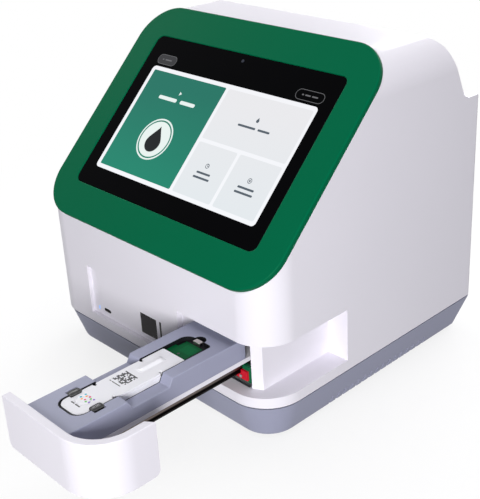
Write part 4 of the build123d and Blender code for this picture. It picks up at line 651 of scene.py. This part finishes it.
LID_TOP = 88.2
label_spot = on_tray(LID_TOP)
cell = 1.24
squares = []
for row in range(11):
    for col in range(12):
        if (row * row + 5 * col + 3 * row * col) % 7 in (0, 2, 3, 5):
            x0, y0 = 76.2 + col * cell, 72.4 + row * cell
            squares.append(rounded_outline(x0, x0 + cell * 0.96, y0, y0 + cell * 0.96, 0.08, 1))
slab("cartridge_code_patch", squares, label_spot, 0.0, INK, ink_black, "tray")
for k, ink in enumerate(dot_inks):
    spots = [circle(79.0 + 2.6 * k, 46.2 - 4.4 * step - 1.1 * (k % 2), 0.95, 20) for step in range(2)]
    slab("cartridge_dots_%d" % k, spots, label_spot, 0.0, INK, ink, "tray")
bars = [rounded_outline(x0, x1, 33.0, 34.2, 0.4, 3) for x0, x1 in ((78.5, 82.6), (83.6, 89.4))]
bars += [rounded_outline(x0, x1, 69.4, 70.2, 0.3, 3) for x0, x1 in ((76.6, 78.6), (79.4, 89.8))]
slab("cartridge_bars", bars, label_spot, 0.0, INK, ink_black, "tray")
lid_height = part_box("cartridge_lid")[1].z / MM
print("squares in the patch", len(squares), "lid's highest point", round(lid_height, 2), "mm")

# %% [markdown]
# A thin black rim stands up inside the cover's opening and lines its wall. It is a dark sheet set in the
# gap round the cartridge, so the fine dark line all round the cartridge is painted shade. It is 0.4 mm
# thick, follows the opening's outline with the bulge for the clip, and drops with the cover where the two
# finger grips cut into it.

# %% The bay's dark rim, painted shade in the gap round the cartridge
COVER_TOP, GRIP_TOP, RIM_FOOT = 89.0, 82.0, 79.3


def cover_height_at(y):
    """The cover's top over a tray place y: it dips between the slopes of the grips."""
    slopes = (60.5, 64.5, COVER_TOP, GRIP_TOP), (99.0, 103.0, GRIP_TOP, COVER_TOP)
    for start, end, low, high in slopes:
        if start <= y <= end:
            return low + (high - low) * (y - start) / (end - start)
    return GRIP_TOP if 64.5 < y < 99.0 else COVER_TOP


def bay_outline(inset, steps=8):
    """The opening's outline in tray places, drawn in by an inset in mm."""
    left, right, near, far = 71.0 + inset, 100.0 - inset, 23.0 + inset, 153.0 - inset
    points = []

    def arc(cx, cy, radius, start, end):
        for k in range(steps + 1):
            angle = radians(start + (end - start) * k / steps)
            points.append((cx + radius * cos(angle), cy + radius * sin(angle)))

    arc(left + 9.0, near + 9.0, 9.0, 180, 270)
    arc(right - 9.0, near + 9.0, 9.0, 270, 360)
    points.extend((right, y) for y in (60.5, 64.5, 99.0, 103.0))
    arc(right - 2.5, far - 2.5, 2.5, 0, 90)
    arc(85.5, far, 5.6 - inset, 0, 180)
    arc(left + 9.0, far - 9.0, 9.0, 90, 180)
    points.extend((left, y) for y in (103.0, 99.0, 64.5, 60.5))
    return points


def rim_place(x, y, share):
    """A place on the rim, from its foot (share 0) to just under the cover's top (share 1)."""
    top = cover_height_at(y) - 0.06
    return Vector((x, y + TRAY_OUT, RIM_FOOT + share * (top - RIM_FOOT))) * MM


# A black lining in the gap: painted shade round the cartridge.
gap_shade_rim = frame_slab(
    "bay_gap_shade_rim", bay_outline(0.04), bay_outline(0.44), rim_place, 0.0, 1.0,
    nylon_black, "tray",
)
print("bay rim", [round(v / MM, 2) for v in gap_shade_rim.dimensions])

# %% [markdown]
# Each catch has a thin rounded flange on its top, which hides its slot and slides over the
# cover with it. The flange is a low ring that rides on the catch's own body.

# %% Flanges of the catches
for word, x in (("left", 71.3), ("right", 99.7)):
    outer = rounded_outline(x - 3.6, x + 3.6, 36.2, 46.8, 2.2)
    inner = rounded_outline(x - 2.4, x + 2.4, 37.4, 45.6, 1.0)
    frame_slab(
        "catch_flange_" + word, outer, inner, on_tray(COVER_TOP), 0.01, 0.16,
        catch_black, word + "_catch",
    )
print("flanges made")

# %% [markdown]
# The cartridge's lid is pressed up over its sample channel, which makes a long soft ridge. A
# grid of points is raised by two smooth steps, one across the ridge and one along it, so it has
# no hard edge. It closes on itself below, so it prints as a solid.

# %% The cartridge's soft ridge
def smooth(value):
    value = max(0.0, min(1.0, value))
    return value * value * (3 - 2 * value)


def ridge(name, x0, x1, y0, y1, foot, rise, flank, ends, across=18, along=36):
    work = bmesh.new()
    rows = []
    for j in range(along + 1):
        y = y0 + (y1 - y0) * j / along
        row = []
        for i in range(across + 1):
            x = x0 + (x1 - x0) * i / across
            lift = smooth(min(x - x0, x1 - x) / flank) * smooth(min(y - y0, y1 - y) / ends)
            row.append(work.verts.new(Vector((x, y + TRAY_OUT, foot + rise * lift)) * MM))
        rows.append(row)
    for j in range(along):
        for i in range(across):
            work.faces.new((rows[j][i], rows[j][i + 1], rows[j + 1][i + 1], rows[j + 1][i]))
    border = [e for e in work.edges if len(e.link_faces) == 1]
    sunk = bmesh.ops.extrude_edge_only(work, edges=border)["geom"]
    low = [v for v in sunk if isinstance(v, bmesh.types.BMVert)]
    for vert in low:
        vert.co.z = (foot - 0.3) * MM
    bmesh.ops.contextual_create(work, geom=[e for e in work.edges if len(e.link_faces) == 1])
    bmesh.ops.recalc_face_normals(work, faces=work.faces)
    for face in work.faces:
        face.smooth = abs(face.normal.z) > 0.3
    return finish_piece(name, work, pc_white, "tray")


ridge("cartridge_ridge", 79.6, 87.2, 91.5, 117.0, 88.2, 1.35, 3.8, 4.5)

# %% [markdown]
# The small board behind the cartridge has one plated hole and a larger copper area under its mask. They are
# a disc, a ring and a plate, 0.04 to 0.06 mm proud, about as thick as the mask. The hole is a flat black
# disc, painted shade for the dark inside of the hole.

# %% Board details
board_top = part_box("tray_board")[1].z / MM
board_place = on_tray(board_top)
print("board top at", round(board_top, 2), "mm")
HOLE_X, HOLE_Y = 84.4, 131.2
copper_plane = circuit_board("green_mask_over_copper", "#006034", "#016638")
copper = [rounded_outline(80.5, 94.0, 134.6, 145.0, 0.6, 3)]
slab("board_copper_area", copper, board_place, 0.0, 0.04, copper_plane, "tray")
# A black disc on the flat board: painted shade for the inside of the hole.
hole = [circle(HOLE_X, HOLE_Y, 1.15, 24)]
slab("board_hole", hole, board_place, 0.0, 0.05, ink_black, "tray")
frame_slab(
    "board_hole_ring", circle(HOLE_X, HOLE_Y, 1.6, 24), circle(HOLE_X, HOLE_Y, 1.2, 24),
    board_place, 0.0, 0.06, solder_mask, "tray",
)

# %% [markdown]
# The studio is a sheet of white paper that fades into a white background. Camera rays and
# reflections see the white, while the light that bounces back to the object is greyer, so the
# white never floods it. One function finds those rays, for the floor and for the world.
# The floor's own shading, which carries the contact shadow, fades out from 0.2 to 0.6 m.

# %% White paper floor
def seen_rays(tree):
    """1 for rays of the camera, through glass or off a gloss, and 0 for soft bounces."""
    rays = add(tree, "ShaderNodeLightPath").outputs
    direct = add(
        tree, "ShaderNodeMath", {"operation": "MAXIMUM"},
        i0=rays["Is Camera Ray"], i1=rays["Is Transmission Ray"],
    )
    either = add(
        tree, "ShaderNodeMath", {"operation": "MAXIMUM"},
        i0=direct.outputs[0], i1=rays["Is Glossy Ray"],
    )
    return either.outputs[0]


floor_mesh = bpy.data.meshes.new("floor")
floor_mesh.from_pydata([(-12, -12, 0), (12, -12, 0), (12, 12, 0), (-12, 12, 0)], [], [(0, 1, 2, 3)])
floor = bpy.data.objects.new("floor", floor_mesh)
bpy.context.scene.collection.objects.link(floor)
floor.location.z = -0.0004
paper = bpy.data.materials.new("white_paper_floor")
paper.use_nodes = True
paper_tree = paper.node_tree
paper_tree.nodes.clear()
paper_place = add(paper_tree, "ShaderNodeTexCoord")
paper_grain = add(
    paper_tree, "ShaderNodeTexNoise", i0=paper_place.outputs["Object"], Scale=per_mm(30), Detail=3.0,
)
paper_tone = blend(paper_tree, paper_grain.outputs["Fac"], linear("#fbfbfc"), linear("#ffffff"))
seen_paper = seen_rays(paper_tree)
bounce = blend(paper_tree, seen_paper, linear("#56565c"), paper_tone)
paper_shader = add(paper_tree, "ShaderNodeBsdfDiffuse", Color=bounce)
glow = add(paper_tree, "ShaderNodeEmission", Color=(1, 1, 1, 1), Strength=1.0)
far = add(paper_tree, "ShaderNodeVectorMath", {"operation": "LENGTH"}, i0=paper_place.outputs["Object"])
fade = add(paper_tree, "ShaderNodeMapRange", Value=far.outputs["Value"], i1=0.2, i2=0.6, i3=0.8, i4=1.0)
share = add(
    paper_tree, "ShaderNodeMath", {"operation": "MULTIPLY"}, i0=fade.outputs["Result"], i1=seen_paper,
)
floor_look = add(
    paper_tree, "ShaderNodeMixShader",
    i0=share.outputs[0], i1=paper_shader.outputs[0], i2=glow.outputs[0],
)
add(paper_tree, "ShaderNodeOutputMaterial", Surface=floor_look.outputs[0])
floor_mesh.materials.append(paper)
print("floor nodes", len(paper_tree.nodes))

# %% [markdown]
# The world is white to look at and a weak bluish grey as a light, which lifts the shadows.

# %% White background
world = bpy.data.worlds.new("studio")
bpy.context.scene.world = world
world.use_nodes = True
sky = world.node_tree
sky.nodes.clear()
fill_light = add(sky, "ShaderNodeBackground", Color=linear("#f4f4ff"), Strength=0.15)
white = add(sky, "ShaderNodeBackground", Color=(1, 1, 1, 1), Strength=1.0)
choice = add(
    sky, "ShaderNodeMixShader", i0=seen_rays(sky), i1=fill_light.outputs[0], i2=white.outputs[0],
)
add(sky, "ShaderNodeOutputWorld", Surface=choice.outputs[0])
print("world nodes", len(sky.nodes))

# %% [markdown]
# The main lamp stands at the right front, close to the camera's line, and lights the front and
# the right side. A soft box above lights the top, and two broad lamps behind and at the left
# keep the far sides from going dark.

# %% Lamps
def soft_lamp(name, place, aim, size, watts):
    data = bpy.data.lights.new(name, "AREA")
    data.shape = "RECTANGLE"
    data.size, data.size_y = size
    data.energy = watts
    lamp = bpy.data.objects.new(name, data)
    lamp.location = place
    lamp.rotation_euler = (Vector(aim) - Vector(place)).to_track_quat("-Z", "Y").to_euler()
    bpy.context.scene.collection.objects.link(lamp)
    return lamp


soft_lamp("key_by_the_camera", (1.17, -1.34, 0.50), (0, -0.05, 0.10), (0.6, 0.6), 32)
soft_lamp("top_soft_box", (0.0, 0.5, 1.7), (0, 0.1, 0.1), (1.5, 1.5), 13)
soft_lamp("rear_rim", (-0.5, 1.8, 0.8), (0, 0, 0.15), (1.2, 1.0), 24)
soft_lamp("left_fill", (-1.9, 0.4, 0.8), (0, 0, 0.15), (1.2, 1.0), 18)
bpy.context.scene.view_settings.view_transform = "Standard"
